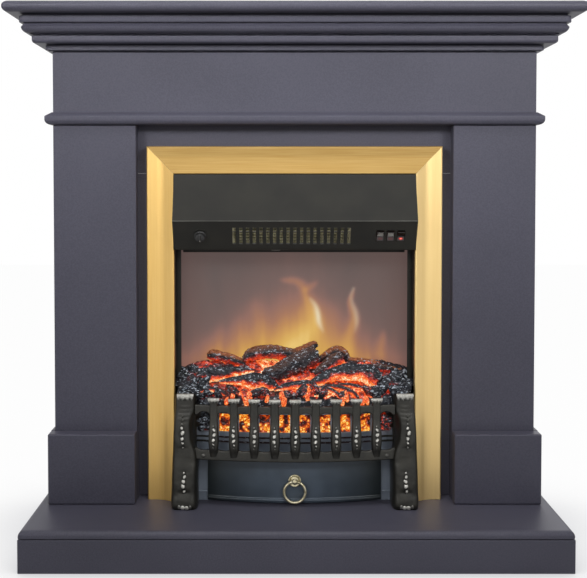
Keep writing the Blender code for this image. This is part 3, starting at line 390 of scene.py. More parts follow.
def powder_coat(name, dark, light, low=0.40, high=0.52):
    """Powder-coated sheet steel: even satin with a slight orange-peel ripple."""
    material, tree, shader, place = new_material(name, {"IOR": 1.5, "Specular IOR Level": 0.22})
    cloud = add_node(tree, NOISE, {"Scale": 1 / (50 * MM), "Detail": 2.0}, {"Vector": place})
    peel = add_node(tree, NOISE, {"Scale": 1 / (1.4 * MM), "Detail": 1.0}, {"Vector": place})
    colour = add_node(tree, RAMP, {"stops": ((0.3, dark), (0.7, light))}, {"Fac": cloud})
    rough = add_node(tree, RANGE, {"To Min": low, "To Max": high}, {"Value": cloud})
    bump = add_node(tree, BUMP, {"Distance": 0.05 * MM, "Strength": 0.5}, {"Height": peel})
    wire(tree, shader, {}, {"Base Color": colour, "Roughness": rough, "Normal": bump})
    return material


def vitreous_enamel(name, dark, light, shaded):
    """Blue-grey stove enamel: semi-gloss, with painted shade that darkens it towards its two ends.

    The given share says how dark the painted shade gets at the ends.
    """
    settings = {"IOR": 1.52, "Coat Weight": 0.1, "Coat Roughness": 0.4}
    material, tree, shader, place = new_material(name, settings)
    cloud = add_node(tree, NOISE, {"Scale": 1 / (40 * MM), "Detail": 2.0}, {"Vector": place})
    plain = add_node(tree, RAMP, {"stops": ((0.3, dark), (0.7, light))}, {"Fac": cloud})
    # Painted shade: darker with distance from the middle, by the given share
    across = add_node(tree, AXES, {}, {"Vector": place}, "X")
    away = add_node(tree, MATH, {"operation": "ABSOLUTE"}, {0: across})
    reach = {"From Min": 35 * MM, "From Max": 135 * MM, "To Min": 0.0, "To Max": shaded}
    painted_end_shade = add_node(tree, RANGE, reach, {"Value": away})
    colour = add_node(tree, MIX, {"data_type": "RGBA", 7: "#121a16"}, {0: painted_end_shade, 6: plain}, 2)
    rough = add_node(tree, RANGE, {"To Min": 0.38, "To Max": 0.50}, {"Value": cloud})
    peel = add_node(tree, NOISE, {"Scale": 1 / (1.6 * MM), "Detail": 1.0}, {"Vector": place})
    bump = add_node(tree, BUMP, {"Distance": 0.03 * MM, "Strength": 0.5}, {"Height": peel})
    wire(tree, shader, {}, {"Base Color": colour, "Roughness": rough, "Normal": bump})
    return material


def galvanised_sheet():
    """Hot-dip galvanised steel: dull grey with a crystal spangle about 12 mm across."""
    material, tree, shader, place = new_material("galvanised_sheet", {"Metallic": 0.9})
    settings = {"Scale": 1 / (12 * MM), "feature": "F1"}
    spangle = add_node(tree, "ShaderNodeTexVoronoi", settings, {"Vector": place}, "Color")
    grey = add_node(tree, "ShaderNodeRGBToBW", {}, {"Color": spangle})
    colour = add_node(tree, RAMP, {"stops": ((0.1, "#8f9294"), (0.9, "#b9bcbe"))}, {"Fac": grey})
    rough = add_node(tree, RANGE, {"To Min": 0.34, "To Max": 0.55}, {"Value": grey})
    skin = add_node(tree, NOISE, {"Scale": 1 / (2 * MM), "Detail": 3.0}, {"Vector": place})
    bump = add_node(tree, BUMP, {"Distance": 0.03 * MM, "Strength": 0.4}, {"Height": skin})
    wire(tree, shader, {}, {"Base Color": colour, "Roughness": rough, "Normal": bump})
    return material


def blackened_iron():
    """Sand-cast iron, stove-blacked: pitted near-black, pale where the mesh says so.

    The pale is burnished wear where hands and brushes reach, and painted glints on beads, caps and claws.
    """
    settings = {"Metallic": 0.25, "Specular IOR Level": 0.5}
    material, tree, shader, place = new_material("blackened_iron", settings)
    pits = add_node(tree, NOISE, {"Scale": 1 / (1.1 * MM), "Detail": 4.0}, {"Vector": place})
    cloud = add_node(tree, NOISE, {"Scale": 1 / (18 * MM), "Detail": 3.0}, {"Vector": place})
    black = add_node(tree, RAMP, {"stops": ((0.3, "#191813"), (0.7, "#2b2922"))}, {"Fac": cloud})
    wear = add_node(tree, STORED, {"attribute_name": "wear"}, output="Fac")
    broken = add_node(tree, MATH, {"operation": "MULTIPLY_ADD", 1: 0.9, 2: -0.45}, {0: pits})
    worn_and_highlit = add_node(tree, MATH, {"operation": "ADD", "use_clamp": True}, {0: wear, 1: broken})
    share = add_node(tree, MATH, {"operation": "MULTIPLY"}, {0: worn_and_highlit, 1: wear})
    bright = add_node(tree, RAMP, {"stops": ((0.3, "#a9a79e"), (0.7, "#f6f4ec"))}, {"Fac": pits})
    colour = add_node(tree, MIX, {"data_type": "RGBA"}, {0: share, 6: black, 7: bright}, 2)
    rough = add_node(tree, RANGE, {"To Min": 0.30, "To Max": 0.50}, {"Value": pits})
    bump = add_node(tree, BUMP, {"Distance": 0.25 * MM, "Strength": 0.7}, {"Height": pits})
    wire(tree, shader, {}, {"Base Color": colour, "Roughness": rough, "Normal": bump})
    return material


def moulded_abs():
    """Black ABS with a fine spark-eroded texture that dulls its gloss.

    The texture is drawn at 0.6 mm, coarser than life, so that it shows.
    """
    material, tree, shader, place = new_material("moulded_abs", {"IOR": 1.53})
    grain = add_node(tree, NOISE, {"Scale": 1 / (0.6 * MM), "Detail": 1.0}, {"Vector": place})
    colour = add_node(tree, RAMP, {"stops": ((0.3, "#121212"), (0.7, "#1c1c1c"))}, {"Fac": grain})
    rough = add_node(tree, RANGE, {"To Min": 0.32, "To Max": 0.45}, {"Value": grain})
    bump = add_node(tree, BUMP, {"Distance": 0.02 * MM, "Strength": 0.5}, {"Height": grain})
    wire(tree, shader, {}, {"Base Color": colour, "Roughness": rough, "Normal": bump})
    return material


def rocker_plastic():
    """Smoky polycarbonate rocker: a pale upper half, and a red window that may be lit."""
    settings = {"IOR": 1.58, "Roughness": 0.2, "Emission Strength": 1.0}
    material, tree, shader, place = new_material("smoky_polycarbonate", settings)
    grain = add_node(tree, NOISE, {"Scale": 1 / (0.8 * MM), "Detail": 3.0}, {"Vector": place})
    smoky = add_node(tree, RAMP, {"stops": ((0.3, "#120d0b"), (0.7, "#1a1210"))}, {"Fac": grain})
    milky = add_node(tree, RAMP, {"stops": ((0.3, "#9b9a95"), (0.7, "#adaca6"))}, {"Fac": grain})
    pale = add_node(tree, STORED, {"attribute_name": "pale"}, output="Fac")
    key = add_node(tree, MIX, {"data_type": "RGBA"}, {0: pale, 6: smoky, 7: milky}, 2)
    lens = add_node(tree, STORED, {"attribute_name": "lens"}, output="Fac")
    colour = add_node(tree, MIX, {"data_type": "RGBA", 7: "#3c0d09"}, {0: lens, 6: key}, 2)
    lit = add_node(tree, STORED, {"attribute_name": "lit"}, output="Fac")
    stops = ((0.0, "#000000"), (0.3, "#4a0a06"), (0.7, "#e8301c"), (1.0, "#ff9a86"))
    glow = add_node(tree, RAMP, {"stops": stops}, {"Fac": lit})
    wire(tree, shader, {}, {"Base Color": colour, "Emission Color": glow})
    return material


def aluminium_fins():
    """Rolled aluminium fins of the heating block, tanned by heat and seen edge on as fine stripes."""
    material, tree, shader, place = new_material("rolled_aluminium", {"Metallic": 0.2})
    drawn = add_node(tree, MAPPING, {"Scale": (1, 0.1, 0.1)}, {"Vector": place})
    fins = add_node(tree, NOISE, {"Scale": 1 / (1.5 * MM), "Detail": 3.0}, {"Vector": drawn})
    colour = add_node(tree, RAMP, {"stops": ((0.35, "#6e6749"), (0.65, "#cfc7a2"))}, {"Fac": fins})
    rough = add_node(tree, RANGE, {"To Min": 0.35, "To Max": 0.6}, {"Value": fins})
    bump = add_node(tree, BUMP, {"Distance": 0.3 * MM, "Strength": 0.8}, {"Height": fins})
    wire(tree, shader, {}, {"Base Color": colour, "Roughness": rough, "Normal": bump})
    return material


def bright_foil():
    """Mirror-bright aluminium foil on the flame spinner, slightly creased."""
    material, tree, shader, place = new_material("creased_foil", {"Metallic": 1.0})
    crease = add_node(tree, NOISE, {"Scale": 1 / (6 * MM), "Detail": 3.0}, {"Vector": place})
    colour = add_node(tree, RAMP, {"stops": ((0.3, "#d5d7da"), (0.7, "#eceef0"))}, {"Fac": crease})
    rough = add_node(tree, RANGE, {"To Min": 0.08, "To Max": 0.2}, {"Value": crease})
    bump = add_node(tree, BUMP, {"Distance": 0.3 * MM, "Strength": 0.5}, {"Height": crease})
    wire(tree, shader, {}, {"Base Color": colour, "Roughness": rough, "Normal": bump})
    return material


def opal_glass():
    """Opal candle lamp: white glass, faintly uneven, over a glazed holder."""
    material, tree, shader, place = new_material("opal_glass", {"IOR": 1.5, "Emission Strength": 0.4})
    cloud = add_node(tree, NOISE, {"Scale": 1 / (8 * MM), "Detail": 3.0}, {"Vector": place})
    colour = add_node(tree, RAMP, {"stops": ((0.3, "#efe6d2"), (0.7, "#fbf6ea"))}, {"Fac": cloud})
    rough = add_node(tree, RANGE, {"To Min": 0.15, "To Max": 0.3}, {"Value": cloud})
    wire(tree, shader, {}, {"Base Color": colour, "Emission Color": colour, "Roughness": rough})
    return material


# Colours of fire by heat: flames on the screen, lit resin, and the lit picture behind the windows
FLAME_STOPS = (
    (0.0, "#4d413f"), (0.12, "#674f4a"), (0.24, "#865e52"), (0.40, "#9c6a4e"),
    (0.56, "#b47f49"), (0.72, "#c8954a"), (0.88, "#d7ab53"), (1.0, "#e4c06e"),
)
EMBER_STOPS = (
    (0.0, "#000000"), (0.20, "#0e0201"), (0.34, "#7c1a08"), (0.48, "#c8320e"),
    (0.64, "#f55a1e"), (0.78, "#ff8a3c"), (0.90, "#ffc07a"), (1.0, "#ffedc8"),
)
COAL_STOPS = (
    (0.0, "#120603"), (0.22, "#3a0e05"), (0.40, "#8e2507"), (0.56, "#d8590c"),
    (0.72, "#f58a14"), (0.87, "#ffbe3c"), (1.0, "#ffe694"),
)


def frosted_screen():
    """Frosted acrylic lit from behind: smoky brown, with soft flames and their pale, hottest edges."""
    settings = {"IOR": 1.49, "Base Color": "#1c1817", "Emission Strength": 1.0}
    material, tree, shader, place = new_material("frosted_acrylic", settings)
    heat = add_node(tree, STORED, {"attribute_name": "fire"}, output="Fac")
    drawn = add_node(tree, MAPPING, {"Scale": (1, 1, 0.35)}, {"Vector": place})
    settings = {"Scale": 1 / (50 * MM), "Detail": 3.0, "Distortion": 0.4}
    wisps = add_node(tree, NOISE, settings, {"Vector": drawn})
    push = add_node(tree, MATH, {"operation": "MULTIPLY_ADD", 1: 0.10, 2: -0.05}, {0: wisps})
    warm = add_node(tree, MATH, {"operation": "ADD", "use_clamp": True}, {0: heat, 1: push})
    flame = add_node(tree, RAMP, {"stops": FLAME_STOPS}, {"Fac": warm})
    pale = add_node(tree, STORED, {"attribute_name": "pale"}, output="Fac")
    glow = add_node(tree, MIX, {"data_type": "RGBA", 7: "#e3dabb"}, {0: pale, 6: flame}, 2)
    rough = add_node(tree, RANGE, {"To Min": 0.45, "To Max": 0.6}, {"Value": wisps})
    wire(tree, shader, {}, {"Emission Color": glow, "Roughness": rough})
    return material


def charred_resin(name, stops):
    """Moulded resin, painted charcoal with blue and violet hints and dry-brushed with white ash.

    It is brown where the mesh says so, which is bark and painted back light, and glows from within
    by the stops where the mesh is hot.
    """
    settings = {"IOR": 1.5, "Specular IOR Level": 0.3, "Emission Strength": 1.0}
    material, tree, shader, place = new_material(name, settings)
    hue = add_node(tree, NOISE, {"Scale": 1 / (9 * MM), "Detail": 3.0}, {"Vector": place})
    fleck = add_node(tree, NOISE, {"Scale": 1 / (2.4 * MM), "Detail": 4.0}, {"Vector": place})
    drawn = add_node(tree, MAPPING, {"Scale": (0.5, 1, 1)}, {"Vector": place})
    speck = add_node(tree, NOISE, {"Scale": 1 / (3.0 * MM), "Detail": 3.0}, {"Vector": drawn})
    greys = ((0.25, "#0e1113"), (0.42, "#1f242a"), (0.58, "#292a31"), (0.75, "#171c1e"))
    char = add_node(tree, RAMP, {"stops": greys}, {"Fac": hue})
    bark = add_node(tree, RAMP, {"stops": ((0.3, "#77402a"), (0.7, "#c67d52"))}, {"Fac": fleck})
    brown = add_node(tree, STORED, {"attribute_name": "brown"}, output="Fac")
    skin = add_node(tree, MIX, {"data_type": "RGBA"}, {0: brown, 6: char, 7: bark}, 2)
    ash = add_node(tree, STORED, {"attribute_name": "ash"}, output="Fac")
    gate = add_node(tree, MATH, {"operation": "MULTIPLY_ADD", 1: 10.0, 2: -5.75}, {0: speck})
    dust = add_node(tree, MATH, {"operation": "ADD", "use_clamp": True}, {0: ash, 1: gate})
    colour = add_node(tree, MIX, {"data_type": "RGBA", 7: "#c2ccd8"}, {0: dust, 6: skin}, 2)
    glow = add_node(tree, STORED, {"attribute_name": "glow"}, output="Fac")
    lick = add_node(tree, MATH, {"operation": "MULTIPLY", 1: 2.0}, {0: fleck})
    hot = add_node(tree, MATH, {"operation": "MULTIPLY"}, {0: glow, 1: lick})
    light = add_node(tree, RAMP, {"stops": stops}, {"Fac": hot})
    rough = add_node(tree, RANGE, {"To Min": 0.36, "To Max": 0.66}, {"Value": fleck})
    bump = add_node(tree, BUMP, {"Distance": 0.5 * MM, "Strength": 0.8}, {"Height": fleck})
    links = {"Base Color": colour, "Emission Color": light, "Roughness": rough, "Normal": bump}
    wire(tree, shader, {}, links)
    return material


def white_floor():
    """Matt pale studio floor, white to the eye and in reflections away from the object.

    Near the object it darkens as open sky above it is hidden, so it keeps a soft shadow.
    """
    material, tree, shader, place = new_material("matt_white_floor", {"Roughness": 0.9})
    cloud = add_node(tree, NOISE, {"Scale": 1 / (1500 * MM), "Detail": 1.0}, {"Vector": place})
    colour = add_node(tree, RAMP, {"stops": ((0.3, "#bcbcbc"), (0.7, "#c2c2c2"))}, {"Fac": cloud})
    wire(tree, shader, {}, {"Base Color": colour})
    seen = ray_share(tree, "Camera", "Glossy")
    share = add_node(tree, MATH, {"operation": "MULTIPLY", 1: FLOOR_LIFT}, {0: seen})
    shelter = {"samples": 16, "Distance": SHADOW_REACH}
    open_sky = add_node(tree, "ShaderNodeAmbientOcclusion", shelter, output="AO")
    tone = add_node(tree, RAMP, {"stops": ((0.35, "#c4c4c8"), (0.95, "#ffffff"))}, {"Fac": open_sky})
    white = add_node(tree, "ShaderNodeEmission", {"Strength": 1.0}, {"Color": tone})
    both = add_node(tree, "ShaderNodeMixShader", {}, {0: share, 1: shader.outputs[0], 2: white})
    wire(tree, tree.nodes["Material Output"], {}, {"Surface": both})
    return material


def slab(node, profile, corner, material):
    """Moulded board in place of a node: rings round its front and sides, one for each profile point.

    The profile lists (inset from the node's box, share of its height) from the foot up, and the two
    front corners are quarter circles of the given radius.
    """
    low, high = corners(node)
    bend = arc((0, 0), corner, 180, 270, 5) + corner
    rings = []
    for inset, share in profile:
        left = bend + (low[0] + inset, low[1] + inset)
        right = left[::-1] * (-1, 1)
        plan = np.vstack([left, right, [[high[0] - inset, high[1]], [low[0] + inset, high[1]]]])
        rings.append(np.insert(plan, 2, low[2] + share * (high[2] - low[2]), axis=1))
    board = grid_shape(np.array(rings))
    piece(f"{node}_moulded", board, material, "painted_mdf", replaces=[node])


def nosing(node, radius, start, end, steps=14):
    """Rounded foot of a board between two angles, as (inset, share of its height) points."""
    return arc((radius, radius), radius, start, end, steps) / (1, thickness(node))


def make_mouldings(material):
    """Shelf, crown and hearth board with their rounds and cove, and the dark quirks that part them."""
    shelf = nosing("mantel_shelf", thickness("mantel_shelf") / 2, 270, 90, 24)
    slab("mantel_shelf", shelf, 4 * MM, material)
    quirk = 4 * MM
    fillet = [(quirk, 0), (quirk, 0.12), (0, 0.14), (0, 0.86), (quirk, 0.88), (quirk, 1)]
    slab("crown_fillet", fillet, 5 * MM, material)
    lower = nosing("crown_round", 5 * MM, 270, 180)
    slab("crown_round", [*lower, (0, 0.88), (quirk, 0.90), (quirk, 1)], 5 * MM, material)
    cove = arc((12.5 * MM, 12 * MM), 10.3 * MM, 285, 185, 14) / (1, thickness("crown_cove"))
    step = [(6 * MM, 0.515), (6 * MM, 0.565), (0.3 * MM, 0.575)]
    brow = [(0, 0.60), (0, 0.90), (quirk, 0.92), (quirk, 1)]
    slab("crown_cove", [(13.3 * MM, 0), *cove, *step, *brow], 6.2 * MM, material)
    thick, edge = thickness("hearth_board"), 9 * MM
    top = arc((edge, thick - edge), edge, 180, 90, 14) / (1, thick)
    slab("hearth_board", [(2.5 * MM, 0), (2.5 * MM, 0.08), (0, 0.10), *top], 5 * MM, material)


def belt_end(section, side, inside, depth, level):
    """The belt's (proud, rise) section as a ring of points on one side, at the given depth and level."""
    return spread(side * (inside + section[:, 0]), depth, level + section[:, 1])


def make_belt(material):
    """Belt in three mitred lengths: a quarter-round foot, a flat nose and a sloping top."""
    low, high = corners("belt_front")
    height, proud = high[2] - low[2], high[1] - low[1]
    radius = 0.42 * height
    nose = arc((proud - radius, radius), radius, -90, 0, 14)
    crest = arc((proud - 0.10 * height, 0.62 * height), 0.10 * height, 0, 45, 4)
    section = np.vstack([[0, 0], nose, crest, [0.12 * proud, height], [0, height]])
    inside = high[0] - proud
    face = high[1] - section[:, 0]
    front = np.array([belt_end(section, side, inside, face, low[2]) for side in (-1, 1)])
    piece("belt_front_moulded", grid_shape(front), material, "painted_mdf", replaces=["belt_front"])
    back = corners("belt_left")[1][1]
    gap = 0.3 * MM
    for name, side in (("left", -1), ("right", 1)):
        run = np.array([belt_end(section, side, inside, depth, low[2]) for depth in (face + gap, back)])
        piece(f"belt_{name}_moulded", grid_shape(run), material, "painted_mdf", replaces=[f"belt_{name}"])


def trim_section(member, nose, face, foot):
    """(inward, y) outline of the trim: outer return, rolled edge, flat band, bend, cove and rolled lip."""
    depth = face - nose
    outer = arc((3 * MM, face + 3 * MM), 3 * MM, 180, 270, 10)
    run = smooth_path(
        [
            (8 * MM, face),
            (19 * MM, face - 0.02 * depth),
            (28 * MM, face - 0.22 * depth),
            (36 * MM, face - 0.58 * depth),
            (member - 4 * MM, face - 0.93 * depth),
        ],
        32,
    )
    lip = arc((member - 2.0 * MM, nose + 2.0 * MM), 2.0 * MM, 250, 360, 10)
    path = np.vstack([[[0, foot]], outer, run, lip, [[member, nose + 12 * MM]]])
    return sheet_outline(path, 1.2 * MM)


def make_trim(left, right, level):
    """Pressed brass frame: two uprights and a head, mitred.

    The right upright is a paler copy of the brass, painted light; the head is a darker copy, painted shade.
    """
    low, high = corners("trim_top")
    half, top = high[0], high[2]
    face = low[1] + TRIM_PROUD
    section = trim_section(TRIM_MEMBER, face - TRIM_RISE, face, high[1])
    foot = corners("trim_left")[0][2]
    gap = 0.3 * MM
    inward, depth = section[:, 0], section[:, 1]
    for name, side, upright in (("left", -1, left), ("right", 1, right)):
        ends = [spread(side * (half - inward), depth, z) for z in (foot, top - inward - gap)]
        run = grid_shape(np.array(ends), "strip")
        piece(f"trim_{name}_pressed", run, upright, "brass_trim", replaces=[f"trim_{name}"], sharp=50)
    ends = [spread(side * (half - inward), depth, top - inward) for side in (-1, 1)]
    head = grid_shape(np.array(ends), "strip")
    piece("trim_top_pressed", head, level, "brass_trim", replaces=["trim_top"], sharp=50)


FACE_CENTRE = np.array([0.0, *JOINTS["thermostat_turn"]["pos_m"][1:]])
FACE_OUT = np.array(JOINTS["thermostat_turn"]["axis"])
FACE_UP = np.array([0.0, FACE_OUT[2], -FACE_OUT[1]])
FACE_AXES = np.array([(1.0, 0.0, 0.0), FACE_UP, FACE_OUT])


def off_face(x, up, out):
    """Steps along the slanted outlet face: across it, up it and out of it."""
    return spread(x, up, out) @ FACE_AXES


def eased(corner, first, second, roll):
    """Curve of nine points that rounds a corner between its two neighbours with about that radius."""
    inward = [(end - corner) / np.linalg.norm(end - corner) for end in (first, second)]
    bite = roll / math.tan(math.acos(np.clip(inward[0] @ inward[1], -1, 1)) / 2)
    t = np.linspace(0, 1, 9)[:, None]
    start, end = corner + inward[0] * bite, corner + inward[1] * bite
    return (1 - t) ** 2 * start + 2 * t * (1 - t) * corner + t**2 * end


def make_hood(material, worn_and_highlit):
    """Folded canopy: sloping front with a rolled nose, hemmed outlet face, ceiling and end cheeks."""
    low, high = corners("hood")
    half, back = high[0], high[1]
    wall, roll, hem, gap = 1.5 * MM, 2.2 * MM, 3.4 * MM, 0.3 * MM
    reach = (FACE_CENTRE[2] - low[2]) / FACE_UP[2]
    nose, foot = ((FACE_CENTRE + off_face(0, up, 0))[1:] for up in (reach, -reach))
    crown = np.array([corners("trim_top")[0][1], high[2]])
    top, bottom = np.array([back, high[2]]), np.array([back, low[2]])
    shoulder, heel = eased(nose, crown, foot, roll), eased(foot, nose, bottom, roll)
    fold = (foot - nose) * hem / (2 * reach)
    runs = []
    for path in ([top, crown, *shoulder, nose + fold], [foot - fold, *heel, bottom]):
        runs.append(prism(sheet_outline(path, wall), -half, half, 0, "strip"))
    cheek = np.array([crown, nose + (gap, 0), foot + (gap, gap), bottom, top])
    for side in (-1, 1):
        runs.append(prism(cheek, side * (half - wall), side * half, 0))
    piece("hood_folded", joined(*runs), material, "black_steel", replaces=["hood"], sharp=30)
    # Painted highlight: a pale rod along the rolled nose, partly worn paint, and a small pale clip where a glint
    # shows
    edge = shoulder[3] + (-0.1 * MM, 0)
    rim = prism(edge + arc((0, 0), 0.55 * MM, 0, 330, 11), -half, half, 0)
    clip_place = (-31.5 * MM, foot[0] + 2 * MM, foot[1] - 0.2 * MM)
    clip = ellipsoid(clip_place, (8 * MM, 1.6 * MM, 1.1 * MM))
    piece("hood_edge_painted_highlight", joined(rim, clip), worn_and_highlit, "grey_steel")


LOUVRES = 18
LOUVRE_PITCH = 11.2 * MM


def make_louvres(material):
    """Rolled lips at the foot and shoulder of each slot of the outlet grille, pale as painted highlights."""
    lips = []
    for i in range(LOUVRES):
        x = (i - (LOUVRES - 1) / 2) * LOUVRE_PITCH - 5.7 * MM
        for up, half, rise in ((-15.2 * MM, 3.2 * MM, 0.9 * MM), (8.5 * MM, 2.4 * MM, 0.7 * MM)):
            place = FACE_CENTRE + off_face(x, up, 0.3 * MM)
            lips.append(ellipsoid(place, (half, 0.8 * MM, rise), 14, 8))
    piece("louvre_lips_painted_highlight", joined(*lips), material, "grey_steel")


def make_screen_channel(material):
    """Black channel that holds the top of the screen under the canopy, and strips up its two sides."""
    head = corners("hood")[0][2] - 0.3 * MM
    foot = corners("flame_screen")[0][2] + 20 * MM
    front, back = SCREEN_FACE - 3.6 * MM, SCREEN_FACE - 0.2 * MM
    # Painted shade: the channel's black band also stands in for the shade under the canopy's edge
    channel = rounded_box(front, back, head - 8.5 * MM, head, 1.2 * MM)
    shapes = [prism(channel, -193.4 * MM, 193.4 * MM, 0)]
    strip = rounded_box(193.8 * MM, 202.6 * MM, STRIP_FACE, STRIP_FACE + 1.5 * MM, 0.6 * MM)
    for side in (-1, 1):
        shapes.append(prism(strip * (side, 1), foot, head, 2))
    piece("screen_channel", joined(*shapes), material, "black_steel")


# Rockers: node, body, joint, how pale the upper half is and how brightly the window is lit
ROCKERS = (
    ("rocker_low_heat", "low_heat_rocker", "low_heat_switch", 1.0, 0.12),
    ("rocker_high_heat", "high_heat_rocker", "high_heat_switch", 1.0, 0.12),
    ("rocker_flame", "flame_rocker", "flame_switch", 0.0, 1.0),
)


def make_rockers(material):
    """Three rockers with a dished face and rounded ends, tipped eight degrees at rest.

    The dish rises with the 1.6th power of the distance from its middle.
    """
    half_width, half, pivot = 5.9 * MM, 9.5 * MM, 4 * MM
    lean = math.radians(8)
    along = np.linspace(-1, 1, 49)
    dish = half * (0.08 + 0.15 * np.abs(along) ** 1.6)
    face = pivot + dish - 0.5 * MM * np.clip(np.abs(along) - 0.93, 0, 1) / 0.07
    skirt = [[half, 1 * MM], [0.45 * half, -4.6 * MM], [-0.45 * half, -4.6 * MM], [-half, 1 * MM]]
    outline = np.vstack([np.stack([along * half, face], -1), skirt])
    rise = outline[:, 0] * math.cos(lean) - outline[:, 1] * math.sin(lean)
    tip = outline[:, 1] * math.cos(lean) + outline[:, 0] * math.sin(lean)
    across = np.concatenate([[-1, -0.97], np.linspace(-0.9, 0.9, 25), [0.97, 1]])[:, None]
    less = np.interp(np.abs(across), [0.9, 0.97, 1], [0, 0.15 * MM, 0.5 * MM])
    rings = off_face(across * half_width, rise, tip - less)
    x, up = np.broadcast_arrays(across, outline[:, 0] / half)
    upper = (np.abs(x) < 0.78) & (up > 0.0) & (up < 0.84)
    spot = np.hypot(x / 0.7, (up + 0.48) / 0.30)
    lens = capped(np.clip((1.25 - spot) / 0.3, 0, 1))
    for node, body, joint, pale, bright in ROCKERS:
        shape = grid_shape(np.array(JOINTS[joint]["pos_m"]) + rings)
        lit = capped(np.clip(1.15 - spot, 0, 1) * bright)
        values = {"pale": capped(upper * pale), "lens": lens, "lit": lit}
        piece(f"{node}_key", shape, material, "black_plastic", body, [node], **values)


def make_knob(plastic, painted, steel):
    """Fluted thermostat knob with a grip bar and a pale pointer, inside a pressed arc on the face.

    The pointer is partly a painted highlight.
    """
    centre = np.array(JOINTS["thermostat_turn"]["pos_m"])
    radius, height, spindle, dial = 9.8 * MM, 8.5 * MM, 3 * MM, 12.6 * MM
    turn = full_turn(96)
    profile = np.array([
        (spindle, -6 * MM), (spindle, 0.3 * MM), (radius, 0.3 * MM), (radius, 2.2 * MM),
        (radius - 0.6 * MM, 2.6 * MM), (0.88 * radius, 3.2 * MM), (0.85 * radius, 7.2 * MM),
        (0.80 * radius, 8.1 * MM), (0.70 * radius, height),
    ])
    fluted = (profile[:, 1:] > 2.8 * MM) & (profile[:, 1:] < 8.0 * MM)
    ring = profile[:, :1] - 0.35 * MM * fluted * (0.5 + 0.5 * np.cos(24 * turn))
    cup = centre + off_face(ring * np.cos(turn), ring * np.sin(turn), profile[:, 1:])
    section = arc((0, 0), 1, 0, 360, 16)[:-1]
    ends = np.linspace(-1, 1, 13)[:, None]
    swell = np.sqrt(1 - ends**4) + 0.02
    across, rise = section[:, 0] * 1.5 * MM * swell, section[:, 1] * 1.7 * MM * swell + height
    bar = centre + off_face(across, 0.74 * radius * ends, rise)
    shape = joined(grid_shape(cup), grid_shape(bar))
    piece("thermostat_knob_fluted", shape, plastic, "black_plastic", "knob", ["thermostat_knob"])
    tip = centre + off_face(0, -0.42 * radius, height + 1.3 * MM)
    pointer = ellipsoid(tip, (1.3 * MM, 1.0 * MM, 1.9 * MM))
    piece("knob_pointer_painted_highlight", pointer, steel, "grey_steel", "knob")
    sweep = np.radians(np.linspace(15, 165, 40))[:, None]
    size = 0.9 * MM * np.minimum(1.0, 4 * (1 - np.abs(np.cos(sweep))) + 0.25)
    away = dial + size * section[:, 0]
    tube = centre + off_face(away * np.cos(sweep), away * np.sin(sweep), size * section[:, 1])
    piece("dial_arc", grid_shape(tube), painted, "black_steel")
    marks = []
    for angle in np.radians([225, 270, 315, -10, 190]):
        place = centre + off_face(dial * math.cos(angle), dial * math.sin(angle), 0.1 * MM)
        marks.append(ellipsoid(place, [0.7 * MM] * 3, 10, 6))
    piece("dial_marks", joined(*marks), painted, "black_steel")


# Flames on the screen: x, z and width in millimetres, and strength
TONGUES = (
    ((1, 312, 29, 0.5), (20, 336, 23, 0.58), (31, 358, 19, 0.62), (31, 378, 16, 0.6),
     (27, 396, 11, 0.5), (21, 410, 8, 0.36), (18, 421, 7.6, 0.29), (11, 429, 7, 0.26),
     (0, 434, 6.2, 0.22), (-12, 435, 5.2, 0.17), (-21, 436, 4.2, 0.04)),
    ((22, 419, 6.8, 0.2), (30, 425, 6, 0.17), (39, 431, 4.6, 0.05)),
    ((96, 312, 18, 0.34), (99, 336, 12, 0.36), (104, 356, 10, 0.4), (106, 371, 8.2, 0.4),
     (102, 385, 7, 0.36), (98, 397, 5.8, 0.32), (101, 409, 4.7, 0.26), (106, 421, 3, 0.1)),
    ((-63, 312, 23, 0.26), (-63, 342, 19, 0.22), (-64, 365, 17, 0.17), (-67, 385, 14, 0.1),
     (-68, 400, 10, 0.02)),
    ((-101, 312, 18, 0.2), (-97, 342, 15, 0.18), (-96, 359, 13, 0.06)),
    ((-140, 310, 18, 0.22), (-133, 330, 14, 0.12), (-133, 345, 11, 0.02)),
    ((150, 307, 12, 0.22), (155, 329, 7.6, 0.2), (157, 345, 5.3, 0.04)),
    ((-1, 312, 44, 0.3), (1, 336, 38, 0.28), (3, 359, 32, 0.22), (6, 397, 23, 0.02)),
    ((60, 312, 26, 0.2), (61, 342, 22, 0.2), (61, 371, 16, 0.16), (57, 391, 12, 0.04)),
)
TIPS = (
    ((30, 402, 3.4, 0.15), (38, 390, 4.6, 0.45), (42, 375, 5.2, 0.72), (44, 361, 4.8, 0.6),
     (51, 345, 3.2, 0.1)),
    ((104, 420, 3.2, 0.14), (100, 407, 3.4, 0.14), (103, 393, 4, 0.18), (109, 377, 4.6, 0.24),
     (110, 362, 4.2, 0.22), (108, 345, 3.2, 0.05)),
)


def along_curves(across, up, curves):
    """Strength of soft curves at each place, screened over one another.

    A curve lists x, z and width in millimetres and strength, and is worth its strength times
    exp(-(distance / width)^2) from its strongest point.
    """
    left = np.ones(across.shape)
    for knots in curves:
        strongest = np.zeros(across.shape)
        for x, z, width, strength in smooth_path(knots, 44):
            away = ((across - x * MM) ** 2 + (up - z * MM) ** 2) / (width * MM) ** 2
            strongest = np.maximum(strongest, strength * np.exp(-away))
        left = left * (1 - np.clip(strongest, 0, 1))
    return 1 - left


# Glow behind the logs, by x in millimetres: how far up it reaches in millimetres, and its strength
GLOW_REACH = ((-190, 22), (-140, 30), (-70, 50), (0, 70), (70, 58), (120, 34), (190, 22))
GLOW_STRENGTH = (
    (-200, 0.10), (-150, 0.34), (-100, 0.52), (-30, 0.66),
    (50, 0.62), (100, 0.42), (150, 0.24), (200, 0.04),
)


